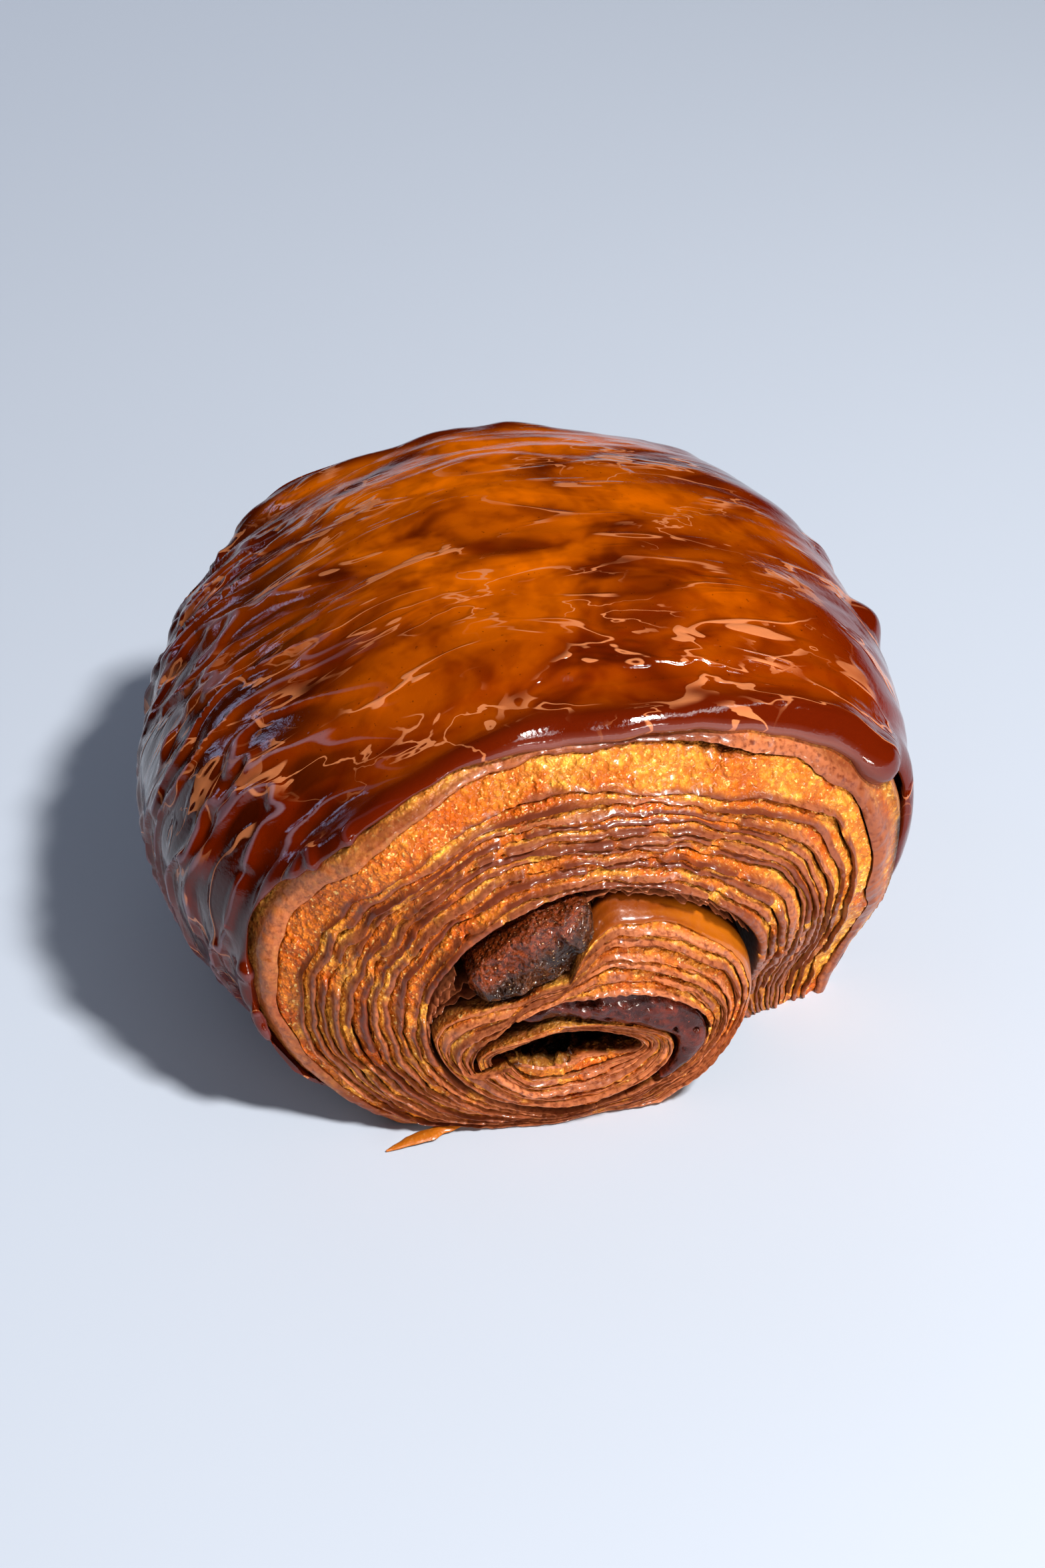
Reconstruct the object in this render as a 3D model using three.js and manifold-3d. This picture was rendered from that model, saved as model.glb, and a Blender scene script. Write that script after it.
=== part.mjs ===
// A baked chocolate croissant: one sheet of laminated dough, rolled up round two chocolate sticks.
// The roll lies along Y with +Z up, and the origin is the middle of its footprint on the table.
import * as THREE from "three";
import { mergeVertices } from "three/addons/utils/BufferGeometryUtils.js";
import Module from "manifold-3d";

const { clamp, degToRad, lerp, radToDeg, smoothstep } = THREE.MathUtils;
const wasm = await Module();
wasm.setup();

// Length of the roll, in millimetres like every size here
const HALF_LENGTH = 45.3; // from the middle to the tip of each rolled end
const RIM_Y = 33.3; // from the middle to the crust's lip at each end
const FULLEST_Y = -4.9; // where the crust has swollen most

// Half widths to each side and height of the crust, at its fullest and at both lips
const FULLEST = { right: 46.1, left: 46.1, top: 56.0 };
const FRONT_RIM = { right: 40.8, left: 38.3, top: 50.4 };
const BACK_RIM = { right: 37.7, left: 37.6, top: 49.6 };
const WIDEST_Z = 24.0; // height at which a lip is widest
const UNDER_REACH = 27.0; // how far the lip's lower curve would go before the table flattens it
const RIM_POWER = { right: 2.3, left: 1.85, under: 2.35 }; // squareness of each part of the outline
const SWELL_POWER = 2.35; // how late the crust draws in towards its lips
const SLOPE = { by: 2.5, at: 140, reach: 60, y: [-25, 5] }; // how the left shoulder falls away behind

// The rolled turns: each oval has its middle and its half axes across (X) and up (Z)
const POCKET = { x: 1.3, z: 17.2, half: 19.8, high: 16.0 };
const HEART = { x: 0.4, z: 11.9, half: 13.8, high: 8.3 };
const HOLLOW = { x: -1.8, z: 11.7, half: 8.4, high: 1.9, tilt: -10 };
const TURN_GAP = 0.5; // clear space between two turns that only touch
const CROWN_GAP = { wide: 1.8, at: 60, reach: 90 }; // more space over the core, at an angle in degrees
const UPPER_STICK_GAP = { wide: 9.0, opens: [82, 116], closes: [146, 190] }; // a flat seat, in degrees
const LOWER_STICK_GAP = { wide: 5.4, at: 45, reach: 125 };
const CURL_GAP = { wide: 1.6, at: 143, reach: 37 }; // a small open pocket beyond the lower stick
const TAIL_START = -42; // degrees along the roll, from the sheet's outer end
const FIRST_TURN_END = [250, 305]; // where the outer wrap passes under the core and becomes its wrap
const SECOND_TURN_END = { outer: [600, 660], inner: [556, 580] }; // where each face passes to the curl
const SHEET_END = 912;
const SHEET_TIP = { thin: 0.5, deg: [850, 905] }; // how the sheet thins out to its end in the heart
const TAIL_FOOT = { inner: 23.2, outer: 33.6 }; // where the sheet's end stands on the table
const TAIL_BEND = { inner: 14, outer: 12 }; // where each face starts down to that foot, in degrees
const SETTLED = { drop: 2.6, at: 285, reach: 75 }; // how the sheet's outer face sinks flat under the core

// The rolled ends: domed, with the tail's end set back and the left shoulder standing forward
const DOME = { rise: 12.0, x: -0.7, z: 17.2, half: 39.5, high: 34.0 };
const TAIL_END = { setback: 9.0, deg: [20, 60], z: [4, 26] };
const SHOULDER = { forward: 4.0, x: -25, reach: 18, z: [30, 40] };
const POCKET_DEPTH = 12.0; // how deep the open pockets go in from the ends
const MIDDLE = { across: 0.72, above: 0.7, below: 0.96 }; // the baked middle, as parts of the lip's reach
const SEAM_RISE = { rise: 1.7, x: [0, 9] }; // how it lifts off the table towards the seam

// Edges of the dough layers across the sheet, from its outer (0) to its inner face (1)
const LAYER_EDGES = [0.27, 0.5, 0.58, 0.66, 0.74, 0.82, 0.91];
const LAYER_RELIEF = 0.9; // how far a layer's edge stands out, and how deep the groove behind it is
const LAYER_STEP = 0.012; // half the width of that step, as a part of the sheet's thickness
const LAYER_WAVE = 0.011; // how far a layer's edge wanders across the sheet
const INNER_RECESS = -1.2; // how far the sheet's inner edge lies back
const LIP = [[0, -3.0], [0.015, -1.2], [0.05, 0.2], [0.1, -0.2], [0.13, -2.6]]; // crust, as [t, stands out]
// Low folds of the crust: their height, and the waves along and round the roll that shape them
const FOLD = { high: 0.45, along: 0.42, wander: 2.2, turn: 1.7, fade: 0.13, fadeTurn: 2 };

// The chocolate sticks
const STICK_CLEARANCE = 0.35;
const UPPER_STICK = { front: -45.2, back: 44.2, bevel: 0.9 };
const UPPER_BAR = { x: -6.3, z: 25.1, wide: 15.4, thick: 7.0, round: 2.6, tilt: 25 };
const LOWER_STICK = { front: -45.0, back: 43.0, bevel: 0.4 };
const CRESCENT = { from: -48, to: 136, inset: 0.4, steps: 20 }; // degrees round the heart, clearance

// Set beads of glaze on the right: one hanging from the lip's corner, two standing out of the crust
const GLAZE_BEADS = [
  { x: 36.6, y: -31.6, z: 35.6, rx: 2.6, ry: 2.6, rz: 3.6 },
  { x: 42.2, y: -4.5, z: 38.6, rx: 2.8, ry: 4.2, rz: 3.4 },
  { x: 39.6, y: 8.6, z: 40.4, rx: 1.9, ry: 2.4, rz: 2.0 },
];

// Mesh density
const SHEET_STEPS = 100;
const CRUST_ROWS = 8;
const SIDES = 32;

function signedPower(value, power) {
  return Math.sign(value) * Math.abs(value) ** power;
}

// A smooth hump of height 1 round a centre, zero beyond its reach
function hump(value, centre, reach) {
  const away = clamp(Math.abs(value - centre) / reach, 0, 1);
  return (1 - away * away) ** 2;
}

// An angle brought to the range from low to low + 360 degrees
function wrapped(deg, low) {
  return THREE.MathUtils.euclideanModulo(deg - low, 360) + low;
}

// A point of an oval pulled in by an inset, as a section point with x across and y up
function ovalPoint(oval, deg, inset = 0) {
  const angle = degToRad(deg);
  const across = (oval.half - inset) * Math.cos(angle);
  const up = (oval.high - inset) * Math.sin(angle);
  const point = new THREE.Vector2(across, up);
  point.rotateAround(new THREE.Vector2(), degToRad(oval.tilt ?? 0));
  return point.add(new THREE.Vector2(oval.x, oval.z));
}

// The crust's outline at the front lip: a rounded square that sits flat on the table
function rimPoint(deg) {
  const c = Math.cos(degToRad(deg));
  const s = Math.sin(degToRad(deg));
  const side = c > 0 ? "right" : "left";
  const power = s > 0 ? RIM_POWER[side] : RIM_POWER.under;
  const reach = s > 0 ? FRONT_RIM.top - WIDEST_Z : UNDER_REACH;
  const x = FRONT_RIM[side] * signedPower(c, 2 / power);
  const z = WIDEST_Z + reach * signedPower(s, 2 / power);
  return new THREE.Vector2(x, Math.max(0, z));
}

function gapHump(gap, deg) {
  return gap.wide * hump(deg, gap.at, gap.reach);
}

// Space between the outer wrap and the core, widest at the upper left where a stick lies
function coreGap(deg) {
  const angle = wrapped(deg, -90);
  const { wide, opens, closes } = UPPER_STICK_GAP;
  const seat = wide * smoothstep(angle, ...opens) * (1 - smoothstep(angle, ...closes));
  return TURN_GAP + gapHump(CROWN_GAP, angle) + seat;
}

// Space that the other stick fills, between the core's wrap and the curl in its heart
function lowerStickGap(deg) {
  return TURN_GAP + gapHump(LOWER_STICK_GAP, wrapped(deg, -180));
}

function heartGap(deg) {
  return lowerStickGap(deg) + gapHump(CURL_GAP, wrapped(deg, -180));
}

const OUTER_FACES = [
  rimPoint,
  (deg) => ovalPoint(POCKET, deg, coreGap(deg)),
  (deg) => ovalPoint(HEART, deg, heartGap(deg)),
];
const INNER_FACES = [
  (deg) => ovalPoint(POCKET, deg),
  (deg) => ovalPoint(HEART, deg),
  (deg) => ovalPoint(HOLLOW, deg),
];

// How far a place along the roll belongs to the first, second and third turn
function turnShares(deg, face = "outer") {
  const pastFirst = smoothstep(deg, ...FIRST_TURN_END);
  const pastSecond = smoothstep(deg, ...SECOND_TURN_END[face]);
  return [1 - pastFirst, pastFirst * (1 - pastSecond), pastFirst * pastSecond];
}

// A point on one face of the sheet, passing from turn to turn
function facePoint(faces, deg, face) {
  const point = new THREE.Vector2();
  turnShares(deg, face).forEach((share, turn) => point.addScaledVector(faces[turn](deg), share));
  const down = 1 - smoothstep(deg, TAIL_START, TAIL_BEND[face]);
  point.lerp(new THREE.Vector2(TAIL_FOOT[face], 0), down);
  point.y = Math.max(0, point.y);
  return point;
}

// A point of the rolled sheet's section, at an angle along the roll and a part t of its thickness
function sheetPoint(deg, t) {
  const outer = facePoint(OUTER_FACES, deg, "outer");
  const inner = facePoint(INNER_FACES, deg, "inner");
  outer.y = Math.max(0, outer.y - SETTLED.drop * hump(deg, SETTLED.at, SETTLED.reach));
  const thinned = SHEET_TIP.thin * smoothstep(deg, ...SHEET_TIP.deg);
  return outer.lerp(inner, t * (1 - thinned));
}

// How far a rolled end lies behind its tip at a section point, at an angle along the roll
function endSetback(point, deg) {
  const across = (point.x - DOME.x) / DOME.half;
  const up = (point.y - DOME.z) / DOME.high;
  const tail = (1 - smoothstep(deg, ...TAIL_END.deg)) * (1 - smoothstep(point.y, ...TAIL_END.z));
  const shoulder = hump(point.x, SHOULDER.x, SHOULDER.reach) * smoothstep(point.y, ...SHOULDER.z);
  return DOME.rise * (across ** 2 + up ** 2) + TAIL_END.setback * tail - SHOULDER.forward * shoulder;
}

// Growth of the section from the front lip to a place along the roll
function swellAt(y) {
  const rim = y < FULLEST_Y ? FRONT_RIM : BACK_RIM;
  const rimY = y < FULLEST_Y ? -RIM_Y : RIM_Y;
  const drawnIn = clamp((y - FULLEST_Y) / (rimY - FULLEST_Y), 0, 1) ** SWELL_POWER;
  const growth = (key) => lerp(FULLEST[key], rim[key], drawnIn) / FRONT_RIM[key];
  return { right: growth("right"), left: growth("left"), top: growth("top") };
}

// Low folds of the crust that run round the roll
function crustFold(deg, y) {
  const wander = FOLD.wander * Math.sin(degToRad(FOLD.turn * deg));
  const fade = Math.cos(FOLD.fade * y + degToRad(FOLD.fadeTurn * deg));
  return FOLD.high * Math.sin(FOLD.along * y + wander) * fade;
}

// The sheet's edge profile at a rolled end: the crust's rounded lip, then a step for each layer
function edgeProfile() {
  const steps = LAYER_EDGES.flatMap((t) => [
    [t - LAYER_STEP, LAYER_RELIEF],
    [t + LAYER_STEP, -LAYER_RELIEF],
  ]);
  return [...LIP, ...steps, [1, INNER_RECESS]];
}

// Once round the sheet's thickness: front edge, inner face, back edge, outer face
function sheetLoop() {
  const profile = edgeProfile();
  const front = profile.map(([t, proud]) => ({ t, proud, along: 0 }));
  const back = profile.map(([t, proud]) => ({ t, proud, along: 1 })).reverse();
  const inner = { t: 1, proud: INNER_RECESS, along: 0.5 };
  const crust = [];
  for (let row = CRUST_ROWS; row > 0; row -= 1) {
    crust.push({ t: 0, proud: LIP[0][1], along: row / (CRUST_ROWS + 1) });
  }
  return [...front, inner, ...back, ...crust];
}

// A vertex of the rolled sheet: where its station lies along the roll, across the sheet and along Y
function sheetVertex(deg, station) {
  const { t, proud, along } = station;
  const loose = t > LAYER_EDGES[0] && t < 1 ? 1 : 0;
  const wave = LAYER_WAVE * Math.sin(degToRad(deg * (3 + 5 * t)) + 9 * t + 4 * along);
  const point = sheetPoint(deg, t + loose * wave);
  const reach = HALF_LENGTH - endSetback(point, deg) + proud;
  const y = lerp(-reach, reach, along);
  const firstTurn = turnShares(deg)[0] * (1 - t);
  const swell = swellAt(y);
  point.x *= lerp(1, point.x > 0 ? swell.right : swell.left, firstTurn);
  point.y *= lerp(1, swell.top, firstTurn);
  const outward = point.clone().sub(new THREE.Vector2(0, WIDEST_Z)).normalize();
  const fall = SLOPE.by * hump(deg, SLOPE.at, SLOPE.reach) * smoothstep(y, ...SLOPE.y);
  point.addScaledVector(outward, -fall * firstTurn);
  if (t === 0 && along > 0 && along < 1 && point.y > 1) {
    point.addScaledVector(outward, crustFold(deg, y) * firstTurn);
    point.y = Math.max(0, point.y);
  }
  return new THREE.Vector3(point.x, y, point.y);
}

// Moves every vertex of a geometry to the place a function gives it
function reshaped(geometry, place) {
  const position = geometry.attributes.position;
  const vertex = new THREE.Vector3();
  for (let i = 0; i < position.count; i += 1) {
    vertex.fromBufferAttribute(position, i);
    const moved = place(vertex);
    position.setXYZ(i, moved.x, moved.y, moved.z);
  }
  return geometry;
}

// A cylinder rolled up: its height runs along the roll and its girth goes round the sheet's thickness
function rolledSheet() {
  const loop = sheetLoop();
  const middle = { t: 0.5, proud: 0, along: 0.5 };
  const cylinder = new THREE.CylinderGeometry(1, 1, 1, loop.length, SHEET_STEPS);
  return reshaped(cylinder, (vertex) => {
    const deg = lerp(TAIL_START, SHEET_END, rollShare(vertex.y + 0.5));
    const onAxis = Math.hypot(vertex.x, vertex.z) < 0.5;
    const girth = radToDeg(Math.atan2(-vertex.x, vertex.z)) / 360;
    const index = Math.round(girth * loop.length + loop.length) % loop.length;
    return sheetVertex(deg, onAxis ? middle : loop[index]);
  });
}

// Spreads the steps along the roll so that the long outer turn gets finer ones than the core
function rollShare(part) {
  return part * (0.8 + 0.2 * part);
}

// The dough between the turns, baked together behind the open pockets: its outline runs
// inside the outer wrap, and inside the bottom layer where the wrap passes under the core
function bakedMiddle() {
  const capsule = new THREE.CapsuleGeometry(1, 1, 4, SIDES);
  return reshaped(capsule, (vertex) => {
    const share = Math.min(1, Math.hypot(vertex.x, vertex.z));
    const rim = rimPoint(radToDeg(Math.atan2(vertex.z, vertex.x)));
    const across = MIDDLE.across * rim.x;
    const raised = rim.y > WIDEST_Z ? 0 : SEAM_RISE.rise * smoothstep(across, ...SEAM_RISE.x);
    const up = (rim.y - WIDEST_Z) * (rim.y > WIDEST_Z ? MIDDLE.above : MIDDLE.below) + raised;
    const point = new THREE.Vector2(across * share, WIDEST_Z + up * share);
    const reach = HALF_LENGTH - endSetback(point, TAIL_END.deg[1]) - POCKET_DEPTH;
    return new THREE.Vector3(point.x, Math.sign(vertex.y) * reach, point.y);
  });
}

// Section of the upper stick: a flat bar with rounded corners
function upperStickShape(grow) {
  const { wide, thick, round } = UPPER_BAR;
  const w = wide / 2 + grow;
  const h = thick / 2 + grow;
  const r = round + grow;
  const shape = new THREE.Shape();
  shape.absarc(w - r, h - r, r, 0, Math.PI / 2);
  shape.absarc(r - w, h - r, r, Math.PI / 2, Math.PI);
  shape.absarc(r - w, r - h, r, Math.PI, 1.5 * Math.PI);
  shape.absarc(w - r, r - h, r, 1.5 * Math.PI, 2 * Math.PI);
  return shape;
}

// Section of the lower stick: it softened in the oven and bent round the curl as a crescent
function lowerStickShape(grow) {
  const { from, to, inset, steps } = CRESCENT;
  const outer = [];
  const inner = [];
  for (let i = 0; i <= steps; i += 1) {
    const deg = lerp(from, to, i / steps);
    outer.push(ovalPoint(HEART, deg, inset - grow));
    inner.unshift(ovalPoint(HEART, deg, lowerStickGap(deg) - inset + grow));
  }
  return new THREE.Shape([...outer, ...inner]);
}

// A stick's section drawn out along the roll
function drawnOut(shape, { front, back, bevel }) {
  const geometry = new THREE.ExtrudeGeometry(shape, {
    depth: back - front - 2 * bevel,
    bevelEnabled: bevel > 0,
    bevelThickness: bevel,
    bevelSize: 0.6 * bevel,
    bevelOffset: -0.6 * bevel,
    bevelSegments: 1,
    curveSegments: 4,
  });
  return geometry.translate(0, 0, bevel - back).rotateX(Math.PI / 2);
}

function upperStick(ends, grow = 0) {
  const geometry = drawnOut(upperStickShape(grow), ends);
  return geometry.rotateY(-degToRad(UPPER_BAR.tilt)).translate(UPPER_BAR.x, 0, UPPER_BAR.z);
}

function lowerStick(ends, grow = 0) {
  return drawnOut(lowerStickShape(grow), ends);
}

function glazeBead(bead) {
  const sphere = new THREE.SphereGeometry(1, 10, 7);
  return sphere.scale(bead.rx, bead.ry, bead.rz).translate(bead.x, bead.y, bead.z);
}

// A closed geometry as a solid that can be joined and cut
function solidOf(geometry) {
  geometry.deleteAttribute("normal");
  geometry.deleteAttribute("uv");
  const merged = mergeVertices(geometry, 1e-4);
  const vertProperties = new Float32Array(merged.attributes.position.array);
  const triVerts = new Uint32Array(merged.index.array);
  return new wasm.Manifold(new wasm.Mesh({ numProp: 3, vertProperties, triVerts }));
}

function geometryOf(solid) {
  const { vertProperties, triVerts } = solid.getMesh();
  const geometry = new THREE.BufferGeometry();
  geometry.setAttribute("position", new THREE.BufferAttribute(vertProperties, 3));
  geometry.setIndex(new THREE.BufferAttribute(triVerts, 1));
  return geometry;
}

// The pastry: the rolled sheet baked together, with glaze beads, and bored for both sticks
function pastrySolid() {
  const bore = { front: -HALF_LENGTH - 5, back: HALF_LENGTH + 5, bevel: 0 };
  let solid = solidOf(rolledSheet()).add(solidOf(bakedMiddle()));
  GLAZE_BEADS.forEach((bead) => {
    solid = solid.add(solidOf(glazeBead(bead)));
  });
  solid = solid.subtract(solidOf(upperStick(bore, STICK_CLEARANCE)));
  return solid.subtract(solidOf(lowerStick(bore, STICK_CLEARANCE)));
}

function namedMesh(name, geometry, color, roughness) {
  const mesh = new THREE.Mesh(geometry, new THREE.MeshStandardMaterial({ color, roughness, metalness: 0 }));
  mesh.name = name;
  return mesh;
}

const croissant = new THREE.Group();
croissant.add(
  namedMesh("pastry", geometryOf(pastrySolid()), "#8c4a1b", 0.35),
  namedMesh("chocolate_stick_upper", upperStick(UPPER_STICK), "#2b1510", 0.55),
  namedMesh("chocolate_stick_lower", lowerStick(LOWER_STICK), "#3a1a15", 0.4),
);

export default croissant;
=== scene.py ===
import math

import bpy
import numpy as np
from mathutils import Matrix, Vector


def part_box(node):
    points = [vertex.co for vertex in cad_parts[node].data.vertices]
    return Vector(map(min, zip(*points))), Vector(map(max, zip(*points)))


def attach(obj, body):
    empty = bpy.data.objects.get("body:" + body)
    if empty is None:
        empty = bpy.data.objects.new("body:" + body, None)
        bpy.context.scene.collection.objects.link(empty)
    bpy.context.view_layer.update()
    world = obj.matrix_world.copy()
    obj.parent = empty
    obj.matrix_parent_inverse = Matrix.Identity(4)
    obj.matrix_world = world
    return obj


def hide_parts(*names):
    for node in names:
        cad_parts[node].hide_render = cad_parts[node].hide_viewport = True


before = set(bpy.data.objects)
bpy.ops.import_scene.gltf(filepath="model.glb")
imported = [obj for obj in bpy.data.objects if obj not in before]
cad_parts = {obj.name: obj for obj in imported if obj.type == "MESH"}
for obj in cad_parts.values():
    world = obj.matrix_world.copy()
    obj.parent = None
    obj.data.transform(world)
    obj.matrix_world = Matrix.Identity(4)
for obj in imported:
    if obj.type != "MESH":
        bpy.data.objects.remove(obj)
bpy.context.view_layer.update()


# The core of the roll
# The inner turn and a half of one sheet of buttered, folded dough, rolled up tight before baking.
# At both ends its thin layers show as brown edges with open golden crumb between them.
MM = 0.001
pastry_low, pastry_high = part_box("pastry")
LAYER_RELIEF = 0.9  # how far a layer's edge stands out of the domed end, in millimetres like every size below
HALF_LENGTH = (pastry_high[1] - pastry_low[1]) / 2 / MM - LAYER_RELIEF
RIM_Y = 33.3  # where the crust's lips lie along the roll
FULLEST_Y = -4.9  # where it has swollen most
FULLEST = {"right": 46.1, "left": 46.1, "top": 56.0}
FRONT_RIM = {"right": 40.8, "left": 38.3, "top": 50.4}
BACK_RIM = {"right": 37.7, "left": 37.6, "top": 49.6}
WIDEST_Z = 24.0
UNDER_REACH = 27.0  # below that height, before the table flattens it
RIM_POWER = {"right": 2.3, "left": 1.85, "under": 2.35}  # how square the section is
SWELL_POWER = 2.35
SLOPE = (2.5, 140.0, 60.0)  # how the left shoulder falls away behind: by how much, where and how far round
SLOPE_Y = (-25.0, 5.0)
POCKET = {"x": 1.3, "z": 17.2, "half": 19.8, "high": 16.0}  # the oval inside the first turn
HEART = {"x": 0.4, "z": 11.9, "half": 13.8, "high": 8.3}  # the oval inside the second turn
HOLLOW = {"x": -1.8, "z": 11.7, "half": 8.4, "high": 1.9, "tilt": -10.0}  # left open inside the last turn
HOLLOW_SHUT = 0.2  # part of its height that the hollow keeps deep inside
BOWL = {"x": -0.6, "z": 11.0, "half": 10.5, "high": 5.2, "deep": 3.2}  # dip of the edges round the hollow
TURN_GAP = 0.5
FACE_GAP = 0.1  # between turns that are shut
CROWN_GAP = (1.8, 60.0, 90.0)  # width, place and reach
UPPER_STICK_GAP = {"wide": 9.0, "span": ((82.0, 116.0), (190.0, 146.0))}
LOWER_STICK_GAP = (5.4, 45.0, 125.0)
CURL_GAP = (1.6, 143.0, 37.0)
POCKET_DEPTH = (9.0, 14.0)  # how far in from the ends the gaps between the turns shut
MIDDLE_Y = 2.0  # how near the roll's middle the rows of its two ends come
TAIL_START = -42.0  # degrees along the roll, like every place on it below
FIRST_TURN_END = (250.0, 305.0)
SECOND_TURN_END = {"outer": (600.0, 660.0), "inner": (556.0, 580.0)}
SHEET_END = 912.0
SHEET_TIP = {"thin": 0.5, "deg": (850.0, 905.0)}
TAIL_FOOT = {"inner": 23.2, "outer": 33.6}
TAIL_BEND = {"inner": 14.0, "outer": 12.0}
SETTLED = (2.6, 285.0, 75.0)  # how the first turn sinks where it passes under the core
DOME = {"rise": 12.0, "x": -0.7, "z": 17.2, "half": 39.5, "high": 34.0}
TAIL_END = {"setback": 9.0, "deg": (60.0, 20.0), "z": (4.0, 26.0)}
SHOULDER = {"forward": 4.0, "x": -25.0, "reach": 18.0, "z": (30.0, 40.0)}


def ease(value, start, end):
    """A smooth step from 0 at start to 1 at end."""
    part = np.clip((value - start) / (end - start), 0, 1)
    return part * part * (3 - 2 * part)


def hump(value, centre, reach):
    """A smooth hump of height 1 round a centre, zero beyond its reach."""
    away = np.clip(np.abs(value - centre) / reach, 0, 1)
    return (1 - away * away) ** 2


def rise(shape, value):
    """A hump with its height, place and reach."""
    return shape[0] * hump(value, *shape[1:])


def between(value, opens, closes):
    """A smooth plateau of height 1 that opens over one stretch and closes over another."""
    return ease(value, *opens) * ease(value, *closes)


def lean(start, end, part):
    """A value on the way from start to end."""
    return start + (end - start) * part


HASH_STEPS = np.array([374761393, 668265263, 2147483629])  # large factors that scatter the lumps
HASH_SEED = 1274126177
HASH_STIR = 1103515245


def cloud(x, y, z=0.0, seed=0):
    """Smooth noise, about -1 to 1, whose lumps are one unit wide."""
    place = np.stack(np.broadcast_arrays(x, y, z), axis=-1).astype(float)
    cell = np.floor(place).astype(np.int64)
    part = place - cell
    fade = part ** 3 * (part * (part * 6 - 15) + 10)
    total = np.zeros(place.shape[:-1])
    for corner in np.ndindex(2, 2, 2):
        mixed = ((cell + np.array(corner)) * HASH_STEPS).sum(axis=-1) + seed * HASH_SEED
        mixed = (mixed ^ (mixed >> 13)) * HASH_STIR
        mixed = mixed ^ (mixed >> 16)
        pull = [((mixed >> (8 * axis)) & 255) / 127.5 - 1 for axis in range(3)]
        push = sum(pull[axis] * (part[..., axis] - corner[axis]) for axis in range(3))
        total += push * np.prod(np.where(np.array(corner), fade, 1 - fade), axis=-1)
    return 1.7 * total


def oval(shape, deg, inset=0.0):
    """Section points of an oval pulled in by an inset."""
    angle = np.radians(deg)
    across = (shape["half"] - inset) * np.cos(angle)
    up = (shape["high"] - inset) * np.sin(angle)
    tilt = math.radians(shape.get("tilt", 0.0))
    x = shape["x"] + across * math.cos(tilt) - up * math.sin(tilt)
    z = shape["z"] + across * math.sin(tilt) + up * math.cos(tilt)
    return x, z


def signed_power(value, power):
    """A power that keeps the sign of its value."""
    return np.sign(value) * np.abs(value) ** power


def rim_outline(deg):
    """Section points of the crust at the front lip: a rounded square that sits flat on the table."""
    across, up = np.cos(np.radians(deg)), np.sin(np.radians(deg))
    upper_power = np.where(across > 0, RIM_POWER["right"], RIM_POWER["left"])
    power = np.where(up > 0, upper_power, RIM_POWER["under"])
    half = np.where(across > 0, FRONT_RIM["right"], FRONT_RIM["left"])
    high = np.where(up > 0, FRONT_RIM["top"] - WIDEST_Z, UNDER_REACH)
    x, z = half * signed_power(across, 2 / power), WIDEST_Z + high * signed_power(up, 2 / power)
    return x, np.maximum(z, 0)


def core_gap(deg):
    """Space between the outer wrap and the core, widest at the upper left where a stick lies."""
    angle = np.mod(deg + 90, 360) - 90
    seat = UPPER_STICK_GAP["wide"] * between(angle, *UPPER_STICK_GAP["span"])
    return TURN_GAP + rise(CROWN_GAP, angle) + seat


def lower_stick_gap(deg):
    """Space that the other stick fills, between the core's wrap and the curl in its heart."""
    return TURN_GAP + rise(LOWER_STICK_GAP, np.mod(deg + 180, 360) - 180)


def heart_gap(deg):
    """Space between the core's wrap and the curl: the stick's, and a small open pocket beyond it."""
    return lower_stick_gap(deg) + rise(CURL_GAP, np.mod(deg + 180, 360) - 180)


def turn_shares(deg, side="outer"):
    """How far a place along the roll belongs to the first, second and third turn."""
    past_first = ease(deg, *FIRST_TURN_END)
    past_second = ease(deg, *SECOND_TURN_END[side])
    return 1 - past_first, past_first * (1 - past_second), past_first * past_second


def sheet_section(deg, t, shut=0.0):
    """Section points of the rolled sheet, from its outer (t 0) to its inner face (t 1).

    Where shut is 1 the turns lie against each other, as they do deep inside the pastry.
    """
    loose = 1 - shut
    hollow = dict(HOLLOW, high=HOLLOW["high"] * HOLLOW_SHUT)
    hollow_x, hollow_z = (lean(a, b, shut) for a, b in zip(oval(HOLLOW, deg), oval(hollow, deg)))
    outer_faces = (
        rim_outline(deg),
        oval(POCKET, deg, FACE_GAP + loose * core_gap(deg)),
        oval(HEART, deg, FACE_GAP + loose * heart_gap(deg)),
    )
    inner_faces = oval(POCKET, deg), oval(HEART, deg), (hollow_x, hollow_z)
    points = []
    for faces, side in ((outer_faces, "outer"), (inner_faces, "inner")):
        shares = turn_shares(deg, side)
        x = sum(share * face[0] for share, face in zip(shares, faces))
        z = sum(share * face[1] for share, face in zip(shares, faces))
        down = 1 - ease(deg, TAIL_START, TAIL_BEND[side])
        points.append((lean(x, TAIL_FOOT[side], down), np.maximum(lean(z, 0, down), 0)))
    (outer_x, outer_z), (inner_x, inner_z) = points
    outer_z = np.maximum(outer_z - rise(SETTLED, deg), 0)
    t = t * (1 - SHEET_TIP["thin"] * ease(deg, *SHEET_TIP["deg"]))
    return lean(outer_x, inner_x, t), lean(outer_z, inner_z, t)


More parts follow.
